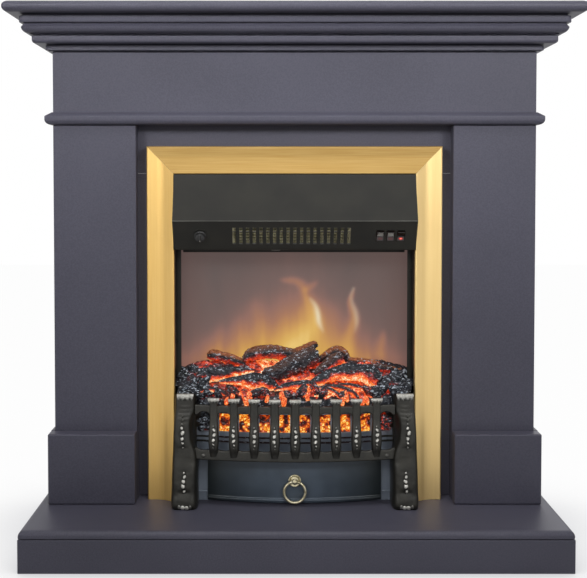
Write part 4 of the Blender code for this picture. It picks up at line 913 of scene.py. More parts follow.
def make_flame_screen(material):
    """Screen whose points carry the heat of the flames and their pale edges.

    Heat is a glow that fades upwards from the logs in soft upright streaks, with the curves of
    TONGUES screened over it; the pale edges are the curves of TIPS.
    """
    low, high = corners("flame_screen")
    x = np.linspace(-SCREEN_HALF, SCREEN_HALF, 300)[:, None]
    z = np.linspace(low[2], high[2], 190)
    face = np.stack([np.full_like(z, SCREEN_FACE), z], -1)
    profile = np.vstack([face, [[high[1], high[2]], [high[1], low[2]]]])
    grid = spread(x, profile[:, 0], profile[:, 1])
    across, up = grid[..., 0], grid[..., 2]
    drift = spread(across / (30 * MM), up / (45 * MM), 0)
    swirl = 2.2 * MM * soft_noise(drift, 3.0) + 1.0 * MM * soft_noise(drift * 3, 5.0)
    broad = soft_noise(spread((across + swirl) / (13 * MM), up / (100 * MM), 0), 8.0)
    narrow = soft_noise(spread((across + swirl) / (6 * MM), up / (60 * MM), 0), 9.0)
    streak = broad + 0.5 * narrow
    reach = np.interp(across / MM, *np.transpose(GLOW_REACH)) * MM
    strength = np.interp(across / MM, *np.transpose(GLOW_STRENGTH))
    rise = np.clip(up - 298 * MM, 0, 1) / reach
    glow = strength * np.exp(-(rise**1.25)) * (1 + 0.22 * streak)
    fade = np.interp(np.abs(across), [0, 200 * MM], [1, 0.4])
    haze = 0.20 * np.clip((480 * MM - up) / (200 * MM), 0, 1) * fade
    tongues = along_curves(across + swirl, up, TONGUES) * (1 + 0.10 * streak)
    heat = 1 - (1 - np.clip(glow, 0, 0.95)) * (1 - np.clip(tongues, 0, 0.95))
    tips = along_curves(across + 0.5 * swirl, up, TIPS)
    values = {"fire": capped(np.clip(0.03 + haze + 0.97 * heat, 0, 1)), "pale": capped(tips)}
    shape = grid_shape(grid)
    piece("flame_screen_lit", shape, material, "flame_screen", replaces=["flame_screen"], **values)


# Logs: knots (x, y, z and radius in millimetres), heat of the underside, brown of the top (bark and
# painted back light)
LOGS = {
    "log_back_left": (((-151.4, 22, 305.5, 4.5), (-141.3, 22, 306.1, 9.7), (-122.5, 21, 302.8, 8.7),
        (-105.1, 19, 298.5, 8.1), (-84.9, 18, 292.4, 6.5)), 0.5, 1),
    "log_back_middle": (((-88, 8, 301.6, 5.1), (-74.6, 9, 309.4, 10.9), (-53.1, 11, 312.5, 12.2),
        (-27.2, 15, 311.9, 12.2), (-2.7, 19, 307.2, 11), (13.2, 21, 302.8, 8.4)), 0.5, 0.4),
    "log_left_front": (((-161.7, -26, 278.2, 12), (-145.6, -23, 279.6, 14.2),
        (-117.7, -18, 282, 11.4), (-89.6, -14, 285, 7), (-68.4, -10, 284.5, 2.9)), 1, 0),
    "log_left_low": (((-126.7, -48, 272.3, 2.5), (-102.5, -45, 274.3, 6.8), (-80.3, -42, 274, 11.2),
        (-58.1, -39, 271.7, 14.4), (-41.4, -38, 265.9, 11.9), (-28, -38, 260.3, 4.4)), 1, 0),
    "log_main": (((-51.2, -30, 284, 10.7), (-33, -24, 282.9, 14.8), (-10.4, -14, 291.8, 16.5),
        (12.5, -4, 300.8, 16.6), (29.8, 2, 307.2, 16.6), (39.1, 5, 314.1, 14.7)), 0.3, 0.12),
    "log_ridge_middle": (((-15.6, 24, 306.9, 7.1), (9, 25, 310.2, 9.7), (24.9, 26, 317, 9.7),
        (35, 26, 322.8, 7.8), (41.7, 26, 324, 4.5)), 0.1, 1.3),
    "log_second": (((33.6, -12, 278.4, 5.7), (49.4, -6, 286.3, 10.2), (66.9, 2, 296.9, 12.8),
        (83.3, 7, 304.6, 12.2)), 0.8, 0.15),
    "log_ridge_right": (((38.1, 24, 289, 7.1), (56.7, 25, 302.1, 10.4), (73.5, 25, 311.4, 10.4),
        (85.1, 25, 307.3, 9.1), (94.3, 25, 295.2, 7.1)), 0.1, 1.25),
    "log_front_right": (((24, -52, 268.7, 4.3), (39.1, -48, 274.8, 8.4), (58.7, -44, 282.1, 10.9),
        (81.3, -39, 286.8, 13.4), (103.9, -35, 287.7, 15), (123.8, -32, 282.7, 16.3),
        (138.4, -31, 271.8, 17.6)), 1, 0),
    "log_back_right": (((91.2, 22, 295.7, 6.5), (114.3, 22, 293.4, 8.4), (137.3, 21, 288.4, 9.1),
        (166, 19, 280.7, 7.8), (197.3, 16, 276.6, 5.2)), 0.3, 0.9),
    "branch_right": (((126.2, -6, 291.5, 4.5), (146.5, -2, 287.9, 6.7),
        (170, 4, 282.8, 5.8)), 0.5, 0.15),
    "log_centre_low": (((-34.1, -52, 259.3, 2.8), (-13.6, -48, 265.1, 6.2), (8.6, -46, 267.5, 7.2),
        (32.6, -44, 269.9, 4.4)), 1, 0),
    "root_left": (((-157.2, -56, 259.5, 3.1), (-142.1, -55, 261.5, 4.9), (-126.4, -55, 258.8, 4.6),
        (-115.8, -57, 253.1, 2.8)), 1, 0),
    "root_right_a": (((36.6, -55, 264.9, 2.8), (55.2, -58, 262.7, 4), (71.6, -60, 253.7, 4),
        (80.1, -64, 244.1, 2.5)), 1, 0),
    "root_right_b": (((50, -51, 267.4, 2.8), (74.7, -54, 264.7, 4), (93.9, -56, 257.3, 4),
        (105.9, -58, 247.3, 2.8)), 0.9, 0),
    "root_right_c": (((72.4, -47, 268.3, 2.5), (94.5, -49, 267, 3.7), (113.6, -52, 262, 3.7),
        (121.6, -55, 253.3, 2.5)), 0.9, 0),
}


def with_ends(values, rows, end_value):
    """Values of a log's skin, with those of its snapped ends put before and after."""
    ends = np.full((rows, values.shape[1]), end_value)
    return capped(np.concatenate([ends, values, ends]))


def bark_log(knots, seed, warmth, brown):
    """Log as a tube round a smooth path, and its ash, glow and brown values.

    The radius is a split billet of a few flat sides, swollen by noise and broken by cracks into
    blocks of char; its ends are snapped a little hollow. Ash lies on the rims of the blocks and of
    the ends, glow deepens towards what faces down and forward, and brown, partly bark and partly
    painted back light, lies on the top.
    """
    path = smooth_path(knots, 96) * MM
    centre, radius = path[:, :3], path[:, 3]
    run = np.gradient(centre, axis=0)
    run /= np.linalg.norm(run, axis=1, keepdims=True)
    side = np.cross(np.array([0, 0, 1.0]), run)
    side /= np.linalg.norm(side, axis=1, keepdims=True)
    lift = np.cross(run, side)
    turn = full_turn(64)
    spoke = np.cos(turn)[:, None] * side[:, None] + np.sin(turn)[:, None] * lift[:, None]
    length = np.concatenate([[0], np.cumsum(np.linalg.norm(np.diff(centre, axis=0), axis=1))])
    size = radius[:, None]
    flat = spread(length[:, None], size * np.cos(turn), size * np.sin(turn))
    sector = 2 * math.pi / (5 + seed % 2)
    phase = turn + 0.9 * soft_noise(spread(length / (30 * MM), 0, 0), seed)[:, None] + seed
    split = 1 / np.cos((np.mod(phase, sector) - sector / 2) * 0.9) - 1
    swelling = soft_noise(flat / (18 * MM), seed)
    ridges = 1 - np.abs(layered_noise(flat * (70, 360, 360), seed + 5, 3))
    near, far = cell_distances(flat * (150, 260, 260), seed + 9)
    crack = np.clip((far - near) / 0.28, 0, 1)
    bark = 0.60 * (split - 0.09) + 0.15 * swelling + 0.12 * (ridges - 0.7) + 0.12 * (crack - 0.8)
    ends = np.minimum(length, length[-1] - length)[:, None]
    mean = size.mean()
    shrink = 1 - 0.12 * np.exp(-ends / (0.2 * mean))
    skin = centre[:, None] + spoke * (size * (1 + bark) * shrink)[..., None]
    tear = 0.35 * layered_noise(flat / (6 * MM), seed + 8, 2) * np.exp(-ends / (0.5 * mean))
    away = np.where(length < length[-1] / 2, -1, 1)[:, None, None]
    skin = skin + run[:, None] * (size * tear)[..., None] * away
    caps = []
    for k, outward in ((0, -1), (-1, 1)):
        fans = []
        for share, sunk in ((0.94, -0.02), (0.8, -0.12), (0.5, -0.22), (0.2, -0.15)):
            rough = 0.14 * soft_noise(flat[k] / (4 * MM) + share * 9, seed + 2)[:, None]
            spot = centre[k] + (skin[k] - centre[k]) * share
            fans.append(spot + run[k] * outward * radius[k] * (sunk + rough))
        caps.append(np.array(fans if k else fans[::-1]))
    points = np.concatenate([caps[0], skin, caps[1]])
    up, out = spoke[..., 2], -spoke[..., 1]
    rim = np.exp(-(((crack - 0.55) / 0.20) ** 2))
    patchy = np.clip(0.35 + 1.3 * layered_noise(flat / (14 * MM), seed + 3, 2), 0, 1)
    ash = rim * patchy * np.clip(0.5 + 0.5 * up, 0.05, 1)
    ash = np.maximum(ash, np.exp(-((ends / (0.14 * mean)) ** 2)) * np.clip(0.35 + patchy, 0, 1))
    ragged = 0.26 * layered_noise(flat / (10 * MM), seed + 4, 3) + 0.20 * (ridges - 0.7)
    under = np.clip((0.42 * out - 0.80 * up + ragged - 0.02) / 0.95, 0, 1)
    veins = 0.6 * (1 - crack) ** 2 * np.clip(0.5 * out - 0.6 * up + 0.25 + ragged, 0, 1)
    glow = np.clip(warmth * np.maximum(under, veins), 0, 0.95)
    # Bark and painted back light: brown on what faces up, most on the back logs
    rear = np.clip(brown * (2.2 * up - 0.55 + 1.2 * ragged), 0, 1)
    ash = ash * (1 - np.clip(1.6 * glow, 0, 0.95)) - 0.4 * glow - 0.35 * rear
    at_ends = (("ash", ash, 0.15), ("glow", glow, 0.0), ("brown", rear, 0.1))
    values = {key: with_ends(numbers, len(caps[0]), end) for key, numbers, end in at_ends}
    return grid_shape(points), values


def ember_lump(spot, seed, warmth, stretch=(1.25, 0.8, 0.75), tilted=1.1):
    """Charred lump: a stretched ball raised by cells into facets, cracks lit and crests ashen.

    The spot lists the lump's x, y, z and radius in millimetres.
    """
    unit = ball_grid(44, 30, 86)
    near, far = cell_distances(unit * 1.9 + seed, seed)
    crack = np.clip((far - near) / 0.22, 0, 1)
    shape = 1 + 0.26 * soft_noise(unit * 1.4, seed + 1) + 0.18 * (crack - 0.6)
    shape = shape + 0.08 * layered_noise(unit * 5, seed + 2, 2)
    drawn = unit * shape[..., None] * stretch
    lean = tilted * math.sin(5.3 * seed)
    across = drawn[..., 0] * math.cos(lean) - drawn[..., 2] * math.sin(lean)
    rise = drawn[..., 0] * math.sin(lean) + drawn[..., 2] * math.cos(lean)
    points = np.array(spot[:3]) * MM + spot[3] * MM * spread(across, drawn[..., 1], rise)
    rim = np.exp(-(((crack - 0.5) / 0.20) ** 2))
    patchy = np.clip(0.55 + layered_noise(unit * 3, seed + 3, 2), 0, 1)
    ash = rim * patchy * np.clip(0.7 + unit[..., 2], 0.15, 1)
    glow = warmth * (1 - crack) ** 1.5 * np.clip(0.75 + soft_noise(unit * 1.5, seed + 4), 0, 1)
    glow = np.clip(glow + warmth * 0.5 * np.clip(-unit[..., 2] - 0.2, 0, 1), 0, 1)
    return grid_shape(points), {"ash": capped(ash), "glow": capped(glow), "brown": capped(0 * ash)}


# Rise of the ember bed: share of its depth from the front, and height in millimetres
BED_RISE = ((0, 244.0), (0.10, 252.0), (0.30, 266.0), (0.55, 279.0), (0.8, 293.0), (1, 293.5))
BED_FOOT = 240 * MM


def ember_bed():
    """Tray of embers: a mound whose height is cells of coal under drifts, lit in the gaps between them.

    Columns run round the section (foot, front, top, back), and rows run across the fire.
    """
    low, high = corners("fuel_bed")
    neck = corners("casing_side_left")[0][1]
    narrow, wide = corners("grate_post_right")[0][0] - 0.5 * MM, high[0]
    across = np.linspace(-1, 1, 320)[:, None]
    depth = np.linspace(0, 1, 100)
    front, back = low[1] + 2 * MM, high[1]
    y = front + (back - front) * depth
    x = across * np.where(y < neck - 1 * MM, narrow, wide)
    mound = smooth_path(BED_RISE, 100)
    base = np.interp(depth, mound[:, 0], mound[:, 1] * MM)
    ends = np.clip((1.02 - np.abs(across)) / 0.25, 0, 1) ** 0.5
    flat = spread(x, y, 0)
    near, far = cell_distances(flat / (13 * MM), 2.0)
    crack = np.clip((far - near) / 0.30, 0, 1)
    drift = layered_noise(flat / (35 * MM), 4.0, 3)
    lump = 5.5 * MM * (crack**0.7 - 0.5) * (0.6 + 0.4 * soft_noise(flat / (30 * MM), 6.0))
    lump = lump + 3 * MM * drift + 1.3 * MM * layered_noise(flat / (5 * MM), 7.0, 2)
    top = spread(x, y, BED_FOOT + (base - BED_FOOT) * (0.55 + 0.45 * ends) + lump)
    foot_front, foot_back = spread(x[:, :1], front, low[2]), spread(x[:, -1:], back, low[2])
    points = np.concatenate([foot_front, top, foot_back], 1)
    broad, narrow = soft_noise(flat / (45 * MM), 11.0), soft_noise(flat / (16 * MM), 12.0)
    hot = np.clip(0.72 + 0.5 * broad + 0.3 * narrow, 0, 1)
    hot = hot * np.interp(np.abs(x / MM), [0, 120, 170, 200], [1, 0.9, 0.35, 0.1])
    seams = (1 - crack) ** 0.7
    fibres = np.clip(layered_noise(flat * (110, 380, 1), 15.0, 2) * 0.9 + 0.2, 0, 1)
    edge = np.clip((y - front - 2 * MM) / (6 * MM) + 0.7 * soft_noise(flat / (9 * MM), 17.0), 0, 1)
    glow = np.clip(hot * (0.40 + 0.42 * seams + 0.46 * fibres) * edge, 0, 0.95)
    ash = np.clip(crack - 0.5, 0, 1) * 1.3 * np.clip(drift + 0.3, 0, 1) * (1 - glow)
    sides = ((0, 0), (1, 1))
    layers = {"ash": ash, "glow": glow, "brown": 0 * ash}
    return grid_shape(points), {key: capped(np.pad(layer, sides)) for key, layer in layers.items()}


# Heaps of lumps (x, y, z and radius in millimetres), heat of their cracks, ash on all of them
LUMPS = {
    "lumps_left": (((-183, 0, 265.7, 17.5), (-190, -12, 255, 12), (-171, 8, 278.6, 12.5),
        (-168, -20, 261.4, 12), (-187, 16, 274.3, 12), (-186, -36, 256.1, 10.5),
        (-170, -44, 255.5, 10.5), (-158, -52, 252.8, 8.5), (-180, -56, 253.5, 8)), 0.05, 0.22),
    "lumps_right": (((167, -6, 265.9, 16), (184, -13, 259, 14), (190, 10, 269.8, 13),
        (154, -15, 261.8, 12.5), (186, -36, 256.1, 10.5), (169, -42, 256.6, 11),
        (178, -55, 253.6, 8.5)), 0.15, 0.22),
    "coals_left": (((-146, -52, 260.8, 11), (-152, -40, 268.8, 11),
        (-128, -56, 254.5, 8.5)), 0.15, 0.2),
    "coals_right": (((143, -40, 258.8, 12.5), (134, -52, 254.8, 10),
        (151, -28, 266.8, 11)), 0.2, 0.2),
    "coals_front": (((-103, -59, 260.3, 8), (-64, -61, 257.1, 9), (-50, -60, 258.7, 7.5),
        (12, -61, 260.1, 9.5), (34, -59, 263.3, 8.5), (47, -60, 257.2, 9), (122, -56, 259, 8.5),
        (80, -62, 254, 7), (-14, -60, 254.2, 7.5)), 0.55, 0.1),
    "coals_side_left": (((-152, -52, 208, 9.5), (-145, -53, 199, 8), (-154, -50, 198, 7),
        (-146, -53, 215, 7)), 0.1, 0.25),
    "coals_side_right": (((152, -52, 207, 9), (146, -53, 199, 8), (153, -50, 198, 7),
        (147, -53, 215, 7)), 0.6, 0.1),
}
# Embers that spill over the upper rail: x, y, z and radius in millimetres
DRIPS = (
    (-112.6, -66, 244, 4.4), (-81, -67, 242, 5.6), (-75, -65, 251, 6.2), (-18, -67, 242, 5.6),
    (-21, -65, 250, 6.4), (-104, -64, 249, 5), (79, -66, 244, 5), (85, -64, 251, 5.6),
    (112, -66, 240, 5.4), (119, -64, 245, 5), (-146.8, -53.5, 212.5, 5.2), (-46, -65, 248, 4.6),
    (20, -64, 250, 4.4),
)


def make_fuel(material):
    """Ember bed with its logs, end lumps, front coals and the embers that hang over the grate."""
    shape, values = ember_bed()
    piece("ember_bed", shape, material, "fuel_resin", replaces=["fuel_bed"], sharp=60, **values)
    for i, (name, (knots, warmth, brown)) in enumerate(LOGS.items()):
        shape, values = bark_log(knots, 3.7 * i + 1, warmth, brown)
        piece(name, shape, material, "fuel_resin", sharp=60, **values)
    for k, (name, (spots, warmth, dust)) in enumerate(LUMPS.items()):
        lumps = [ember_lump(spot, 11.3 * k + 2.9 * i + 1, warmth) for i, spot in enumerate(spots)]
        heap = joined(*[shape for shape, _ in lumps])
        values = {key: np.concatenate([own[key] for _, own in lumps]) for key in ("ash", "glow", "brown")}
        values["ash"] += dust
        piece(name, heap, material, "fuel_resin", sharp=60, **values)
    drips = [ember_lump(spot, 4.3 * i + 2, 1.0, (0.75, 0.6, 1.5), 0.3) for i, spot in enumerate(DRIPS)]
    shape, level = cast_together([(shape, values["glow"]) for shape, values in drips])
    values = {"glow": 0.62 + 0.3 * level, "ash": 0 * level - 1, "brown": 0 * level}
    piece("ember_drips", shape, material, "fuel_resin", sharp=60, **values)


def bow(x, half, sagitta):
    """How far a plate bowed forward by the sagitta stands out at x."""
    radius = (half**2 + sagitta**2) / (2 * sagitta)
    return np.sqrt(radius**2 - x**2) - (radius - sagitta)


GRATE_BOW = 20 * MM
RAIL_HALF = 165.2 * MM
BARS = 9
BAR_PITCH = 33.5 * MM


def rail_front(x):
    """Face of the grate's bowed rails at x."""
    return corners("grate_bars")[0][1] + 28 * MM - bow(x, RAIL_HALF, GRATE_BOW)


def make_rail(low, high, arch_low, arch_high, depth=7 * MM):
    """Bowed cast rail, its section a superellipse, its edges arched into the gaps between the bars.

    An arch is a quarter circle, 1 - sqrt(1 - g^2) at the share g of the way into the gap.
    """
    x = np.linspace(-RAIL_HALF, RAIL_HALF, 420)[:, None]
    from_bar = np.abs(np.mod(x / BAR_PITCH + 0.5, 1) - 0.5) * 2
    into_gap = np.clip(1 - (from_bar - 0.40) / 0.60, 0, 1)
    arch = 1 - np.sqrt(1 - into_gap**2)
    foot, head = low - arch_low * arch, high + arch_high * arch
    turn = full_turn(28)
    y = rail_front(x) + depth / 2 + squared(np.cos(turn), 0.35) * depth / 2
    z = (foot + head) / 2 + squared(np.sin(turn), 0.35) * (head - foot) / 2
    return grid_shape(spread(x, y, z)), np.full(z.size + 2, 0.10)


# Upright of the grate: share of its height, half width and bulge in millimetres
BAR_STATIONS = (
    (0.00, 5.6, 1.0), (0.07, 6.8, 3.0), (0.16, 8.0, 6.5), (0.28, 8.6, 8.8), (0.42, 8.4, 8.6),
    (0.54, 7.6, 6.2), (0.64, 7.0, 4.2), (0.80, 6.8, 3.2), (0.92, 6.6, 2.6), (1.00, 6.4, 2.4),
)
# Beads of the grate's uprights and of the posts: height and size in millimetres, and brightness
# of their wear and painted glint
BAR_BEADS = (
    (205.5, 2.2, 0.35), (199.0, 3.8, 0.8), (190.8, 4.4, 1.0),
    (182.2, 4.2, 1.0), (175.5, 2.6, 0.45), (170.5, 2.0, 0.2),
)
POST_UPPER_BEADS = (
    (221.5, 1.8, 0.15), (215.0, 2.0, 0.2), (208.0, 2.2, 0.25), (201.0, 3.4, 0.8),
    (192.5, 5.0, 1.0), (183.5, 4.2, 1.0), (176.5, 3.0, 0.9), (169.0, 2.2, 0.3),
)
POST_LOWER_BEADS = (
    (127.0, 2.8, 0.45), (120.0, 3.8, 0.9), (112.5, 4.6, 1.0), (104.5, 5.2, 1.0), (96.5, 3.2, 0.9),
)
# Rows of a scalloped cap: shares of its height, its half width and its depth
CAP_ROWS = (
    (0, 0.97, 0.55), (0.06, 1.0, 0.72), (0.30, 0.98, 0.90),
    (0.58, 0.90, 1.0), (0.82, 0.80, 0.85), (1, 0.68, 0.2),
)
CAP_LOBES = 3


def cast_bar(x, foot, top):
    """Upright from the lower rail to its neck: superellipses whose sizes follow BAR_STATIONS."""
    stations = smooth_path(BAR_STATIONS, 56)
    share, half, bulge = stations[:, :1], stations[:, 1:2] * MM, stations[:, 2:] * MM
    turn = full_turn(32)
    back = rail_front(x) + 6 * MM
    y = back - (6 * MM + bulge) / 2 * (1 - squared(np.sin(turn), 0.8))
    points = spread(x + half * squared(np.cos(turn), 0.62), y, foot + (top - foot) * share)
    return grid_shape(points), np.full(y.size + 2, 0.08)


def scallop_cap(x, front, top, half, height, depth):
    """Shell that flares from its top to a brow and tucks in below, as CAP_ROWS says.

    Its lower edge hangs in lobes, which follow the absolute value of a cosine across it.
    """
    u = np.linspace(-1, 1, 49)
    dent = 1 - np.abs(np.cos(CAP_LOBES * math.pi * (u + 1) / 2))
    levels, worn_and_highlit = [], []
    for share, width, reach in CAP_ROWS:
        y = front - depth * reach * (1 - 0.35 * u**2) + 0.20 * depth * dent * share
        z = top - height * share * (1 - 0.42 * share * dent)
        edge = spread(x + u * half * width, y, z)
        rear = spread(x + np.array([1, -1]) * half * width, front + 2 * MM, top - height * share)
        levels.append(np.vstack([edge, rear]))
        # Wear and painted highlight: pale at the top of the cap, less so towards its lobed lower edge
        worn_and_highlit.append(np.append(np.full(len(u), 0.80 - 0.35 * share**2), [0, 0]))
    return grid_shape(np.array(levels)), capped(np.array(worn_and_highlit))


def bead_row(x, front, beads):
    """Column of half-sunk drops on a casting, worn pale with a painted glint on the upper outer side.

    A bead lists its height and size in millimetres and its brightness.
    """
    parts = []
    for k, (level, size, bright) in enumerate(beads):
        z, r = level * MM, size * MM
        centre = (x + 0.18 * r * math.sin(7.1 * k + 90 * x), front, z)
        lean = 0.30 * math.sin(4.3 * k + 50 * x)
        bead = ellipsoid(centre, (0.80 * r, 0.8 * r, 1.10 * r), 22, 14)
        across, out, up = ((bead[0] - centre) / r).T
        bead[0][:, 0] += lean * (bead[0][:, 2] - z)
        # Painted glint: pale on the side that faces up and out, towards the lamps
        rub_and_glint = -1.5 * out + 0.9 * up - 0.7 * across * math.cos(2.4 * k) - 0.75
        parts.append((bead, np.clip(bright * (0.12 + 2.2 * np.clip(rub_and_glint, 0, 1)), 0, 1)))
    return cast_together(parts)


def make_grate(material):
    """Cast grate: two bowed rails and nine uprights with beads and scalloped caps."""
    low, high = corners("grate_bars")
    parts = [
        make_rail(low[2], low[2] + 16.5 * MM, 0.0, 3 * MM),
        make_rail(low[2] + 80.5 * MM, low[2] + 91.5 * MM, 6 * MM, 0.0),
    ]
    for i in range(BARS):
        x = (i - (BARS - 1) / 2) * BAR_PITCH
        front = float(rail_front(x))
        parts.append(cast_bar(x, low[2] + 6 * MM, high[2] - 5 * MM))
        parts.append(scallop_cap(x, front - 2 * MM, high[2], 9.6 * MM, 8.5 * MM, 7 * MM))
        parts.append(bead_row(x, front - 7.9 * MM, BAR_BEADS))
    nub = np.array([(0.2, -2), (3.6, -2), (3.6, 0.6), (2.9, 1.6), (0.3, 2.1)]) * MM
    for x in (-151.5 * MM, 151.5 * MM):
        head = turned(nub, (x, float(rail_front(x)), low[2] + 7.5 * MM), (0, -1, 0), 24)
        parts.append((head, np.full(len(head[0]), 0.3)))
    shape, wear = cast_together(parts)
    piece("grate_cast", shape, material, "black_cast_iron", replaces=["grate_bars"], sharp=50, wear=wear)


def make_returns(plate, black):
    """Edges of the ember panel and the lower panel that run on behind the posts, with slots and a lip."""
    low, high = corners("ember_panel")
    half, side_y = high[0], high[1] - 3 * MM
    level = corners("hearth_board")[1][2] + 124 * MM
    panel_low, panel_high = corners("lower_panel")
    inside, outside, lap = panel_high[0], 163 * MM, 0.4 * MM
    upper = rounded_box(half - lap, 164.5 * MM, side_y, high[1], 0.5 * MM)
    lower = rounded_box(inside - lap, outside, panel_low[1], panel_high[1], 0.2 * MM)
    lip = arc((panel_low[1] - 0.6 * MM, 81.4 * MM), 1.6 * MM, 0, 345, 15)
    x = np.linspace(143.2 * MM, 165 * MM, 12)
    face = side_y - bow(np.minimum(x, half), half, GRATE_BOW)
    near, far = np.stack([x, face - 0.4 * MM], -1), np.stack([x, face + 1 * MM], -1)
    slot = np.vstack([near, far[::-1]])
    plates, slots = [], []
    for side in (-1, 1):
        plates.append(prism(upper * (side, 1), low[2], level + 4 * MM, 2))
        plates.append(prism(lower * (side, 1), panel_low[2], panel_high[2], 2))
        plates.append(prism(lip, side * 148.6 * MM, side * outside, 0))
        for row in (1, 2):
            z = level - row * 7.7 * MM
            slots.append(prism(slot * (side, 1), z - 3.5 * MM, z, 2))
    piece("panel_returns", joined(*plates), plate, "grey_steel")
    piece("panel_return_slots", joined(*slots), black, "black_steel")


# Post: share of its height, and in millimetres how far its inner edge, outer edge and front stand in
POST_STATIONS = (
    (0.000, 2.6, -4.0, 3.0), (0.030, 2.2, -4.6, 0.5), (0.075, 2.4, -4.4, 1.0), (0.14, 2.8, -3.8, 3.0),
    (0.25, 2.8, -3.2, 2.5), (0.36, 2.2, -2.6, 4.0), (0.42, 2.0, -2.2, 5.5), (0.46, 2.6, -1.8, 6.0),
    (0.51, 4.4, -1.4, 5.5), (0.58, 6.8, -0.8, 3.5), (0.66, 7.8, -0.2, 3.0), (0.74, 7.6, 0.6, 3.5),
    (0.81, 6.4, 1.4, 6.0), (0.86, 5.4, 2.0, 8.0), (0.93, 5.0, 2.6, 8.0), (1.000, 5.4, 3.2, 8.0),
)
# Claws of a post's foot: shift, lift and half width in millimetres
CLAWS = ((-8, 6, 3.4), (-2.5, 4.8, 4.4), (4.0, 4.4, 4.6), (10, 5.8, 3.2))


def make_post(name, side, material):
    """Cast post: half superellipses between an inner and an outer edge that follow POST_STATIONS.

    Two ovals are grooved into its face, and small leaves stand on it below the cap.
    """
    low, high = corners(f"grate_post_{name}")
    inner, outer = sorted(abs(np.array([low[0], high[0]])))
    back, front, height = high[1], low[1], high[2] - low[2]
    stations = smooth_path(POST_STATIONS, 160)
    share = stations[:, :1]
    near, far, cut = (stations[:, i : i + 1] * MM for i in (1, 2, 3))
    x0, x1, y0 = inner + near, outer - far, front + cut
    middle, half = (x0 + x1) / 2, (x1 - x0) / 2
    turn = np.linspace(0, math.pi, 49)
    u, deep = squared(np.cos(turn), 0.36), np.abs(np.sin(turn)) ** 0.42
    x = middle + half * u + 3 * MM * (1 - deep) * (u < 0)
    y = back - (back - y0) * deep
    waist = np.exp(-(((share - 0.68) / 0.13) ** 4))
    y = y + 20 * MM * waist * deep * np.clip((-u - 0.2) / 0.8, 0, 1) ** 2
    facing = np.clip(np.sin(turn), 0, 1) ** 4
    oval_low = np.hypot(u / 0.34, (share - 0.235) / 0.090)
    oval_high = np.hypot(u / 0.34, (share - 0.645) / 0.115)
    groove = np.exp(-(((oval_low - 1) / 0.16) ** 2)) + np.exp(-(((oval_high - 1) / 0.14) ** 2))
    leaves = np.exp(-((u / 0.35) ** 2)) * np.abs(np.sin(share * 90)) * ((share > 0.76) & (share < 0.90))
    y = y + facing * (1.8 * MM * groove - 1.2 * MM * leaves)
    z = low[2] + height * share
    y = y + facing * 0.8 * MM * layered_noise(spread(x / (12 * MM), 0, z / (12 * MM)), 3.0, 2)
    level = z - 13 * MM * np.clip((share - 0.93) / 0.07, 0, 1) * (1 - deep)
    parts = [(grid_shape(spread(side * x, y, level)), capped(0.06 + 0.14 * facing * leaves))]
    for place, shift, beads in ((0.64, 1.5 * MM, POST_UPPER_BEADS), (0.23, 0.0, POST_LOWER_BEADS)):
        middle_x = side * (float(np.interp(place, share[:, 0], middle[:, 0])) + shift)
        face = float(np.interp(place, share[:, 0], y0[:, 0]))
        parts.append(bead_row(middle_x, face + 0.4 * MM, beads))
    for shift, lift, size in CLAWS:
        place = (middle_x + shift * MM, front + 2.6 * MM, low[2] + lift * MM)
        toe = ellipsoid(place, (size * MM, 3.4 * MM, 4.2 * MM), 16, 10)
        # Wear and painted glint: the middle toes are palest
        bright = np.clip(1.1 - 0.07 * abs(shift), 0.3, 1.0)
        parts.append((toe, np.full(len(toe[0]), bright)))
    parts.append(scallop_cap(side * 181 * MM, front + 10 * MM, high[2], 14 * MM, 12.5 * MM, 8 * MM))
    shape, wear = cast_together(parts)
    node = f"grate_post_{name}"
    piece(f"post_{name}_cast", shape, material, "black_cast_iron", replaces=[node], sharp=50, wear=wear)


def make_ember_strip(material):
    """Back-lit coals behind the windows: a bowed sheet raised by cells, hottest in the gaps."""
    low, high = corners("ember_strip")
    half, side_y = high[0], high[1] - 3 * MM
    x = np.linspace(-half, half, 420)[:, None]
    z = np.linspace(low[2] - 24 * MM, high[2], 96)
    face = side_y - bow(x, half + 0.2 * MM, GRATE_BOW)
    flat = spread(x, 0, z)
    near, far = cell_distances(flat / (6.2 * MM), 21.0)
    crack = np.clip((far - near) / 0.35, 0, 1)
    top = spread(x, face + 2.4 * MM - 1.8 * MM * crack, z)
    rear = spread(x, face + 2.9 * MM, z[[-1, 0]])
    points = np.concatenate([top, rear], 1)
    flicker = layered_noise(flat / (7.5 * MM), 24.0, 3)
    rise = (z - low[2]) / (high[2] - low[2])
    hot = np.clip(0.60 + 0.62 * flicker + 0.10 * (1 - rise), 0.10, 0.96) * (0.55 + 0.45 * crack)
    hot = hot * np.clip(1 + 30 * rise, 0, 1)
    ends = np.interp(np.abs(x / MM), [0, 125, 138, 160], [1, 1, 0.5, 0.3])
    ash = np.clip(crack - 0.8, 0, 1) * 1.5 * (ends < 0.6)
    layers = {"glow": np.clip(hot * ends, 0, 1), "ash": ash, "brown": 0 * ash}
    values = {key: capped(np.pad(layer, ((0, 0), (0, 2)))) for key, layer in layers.items()}
    shape = grid_shape(points)
    piece("ember_strip_coals", shape, material, "ember_glow", replaces=["ember_strip"], sharp=60, **values)


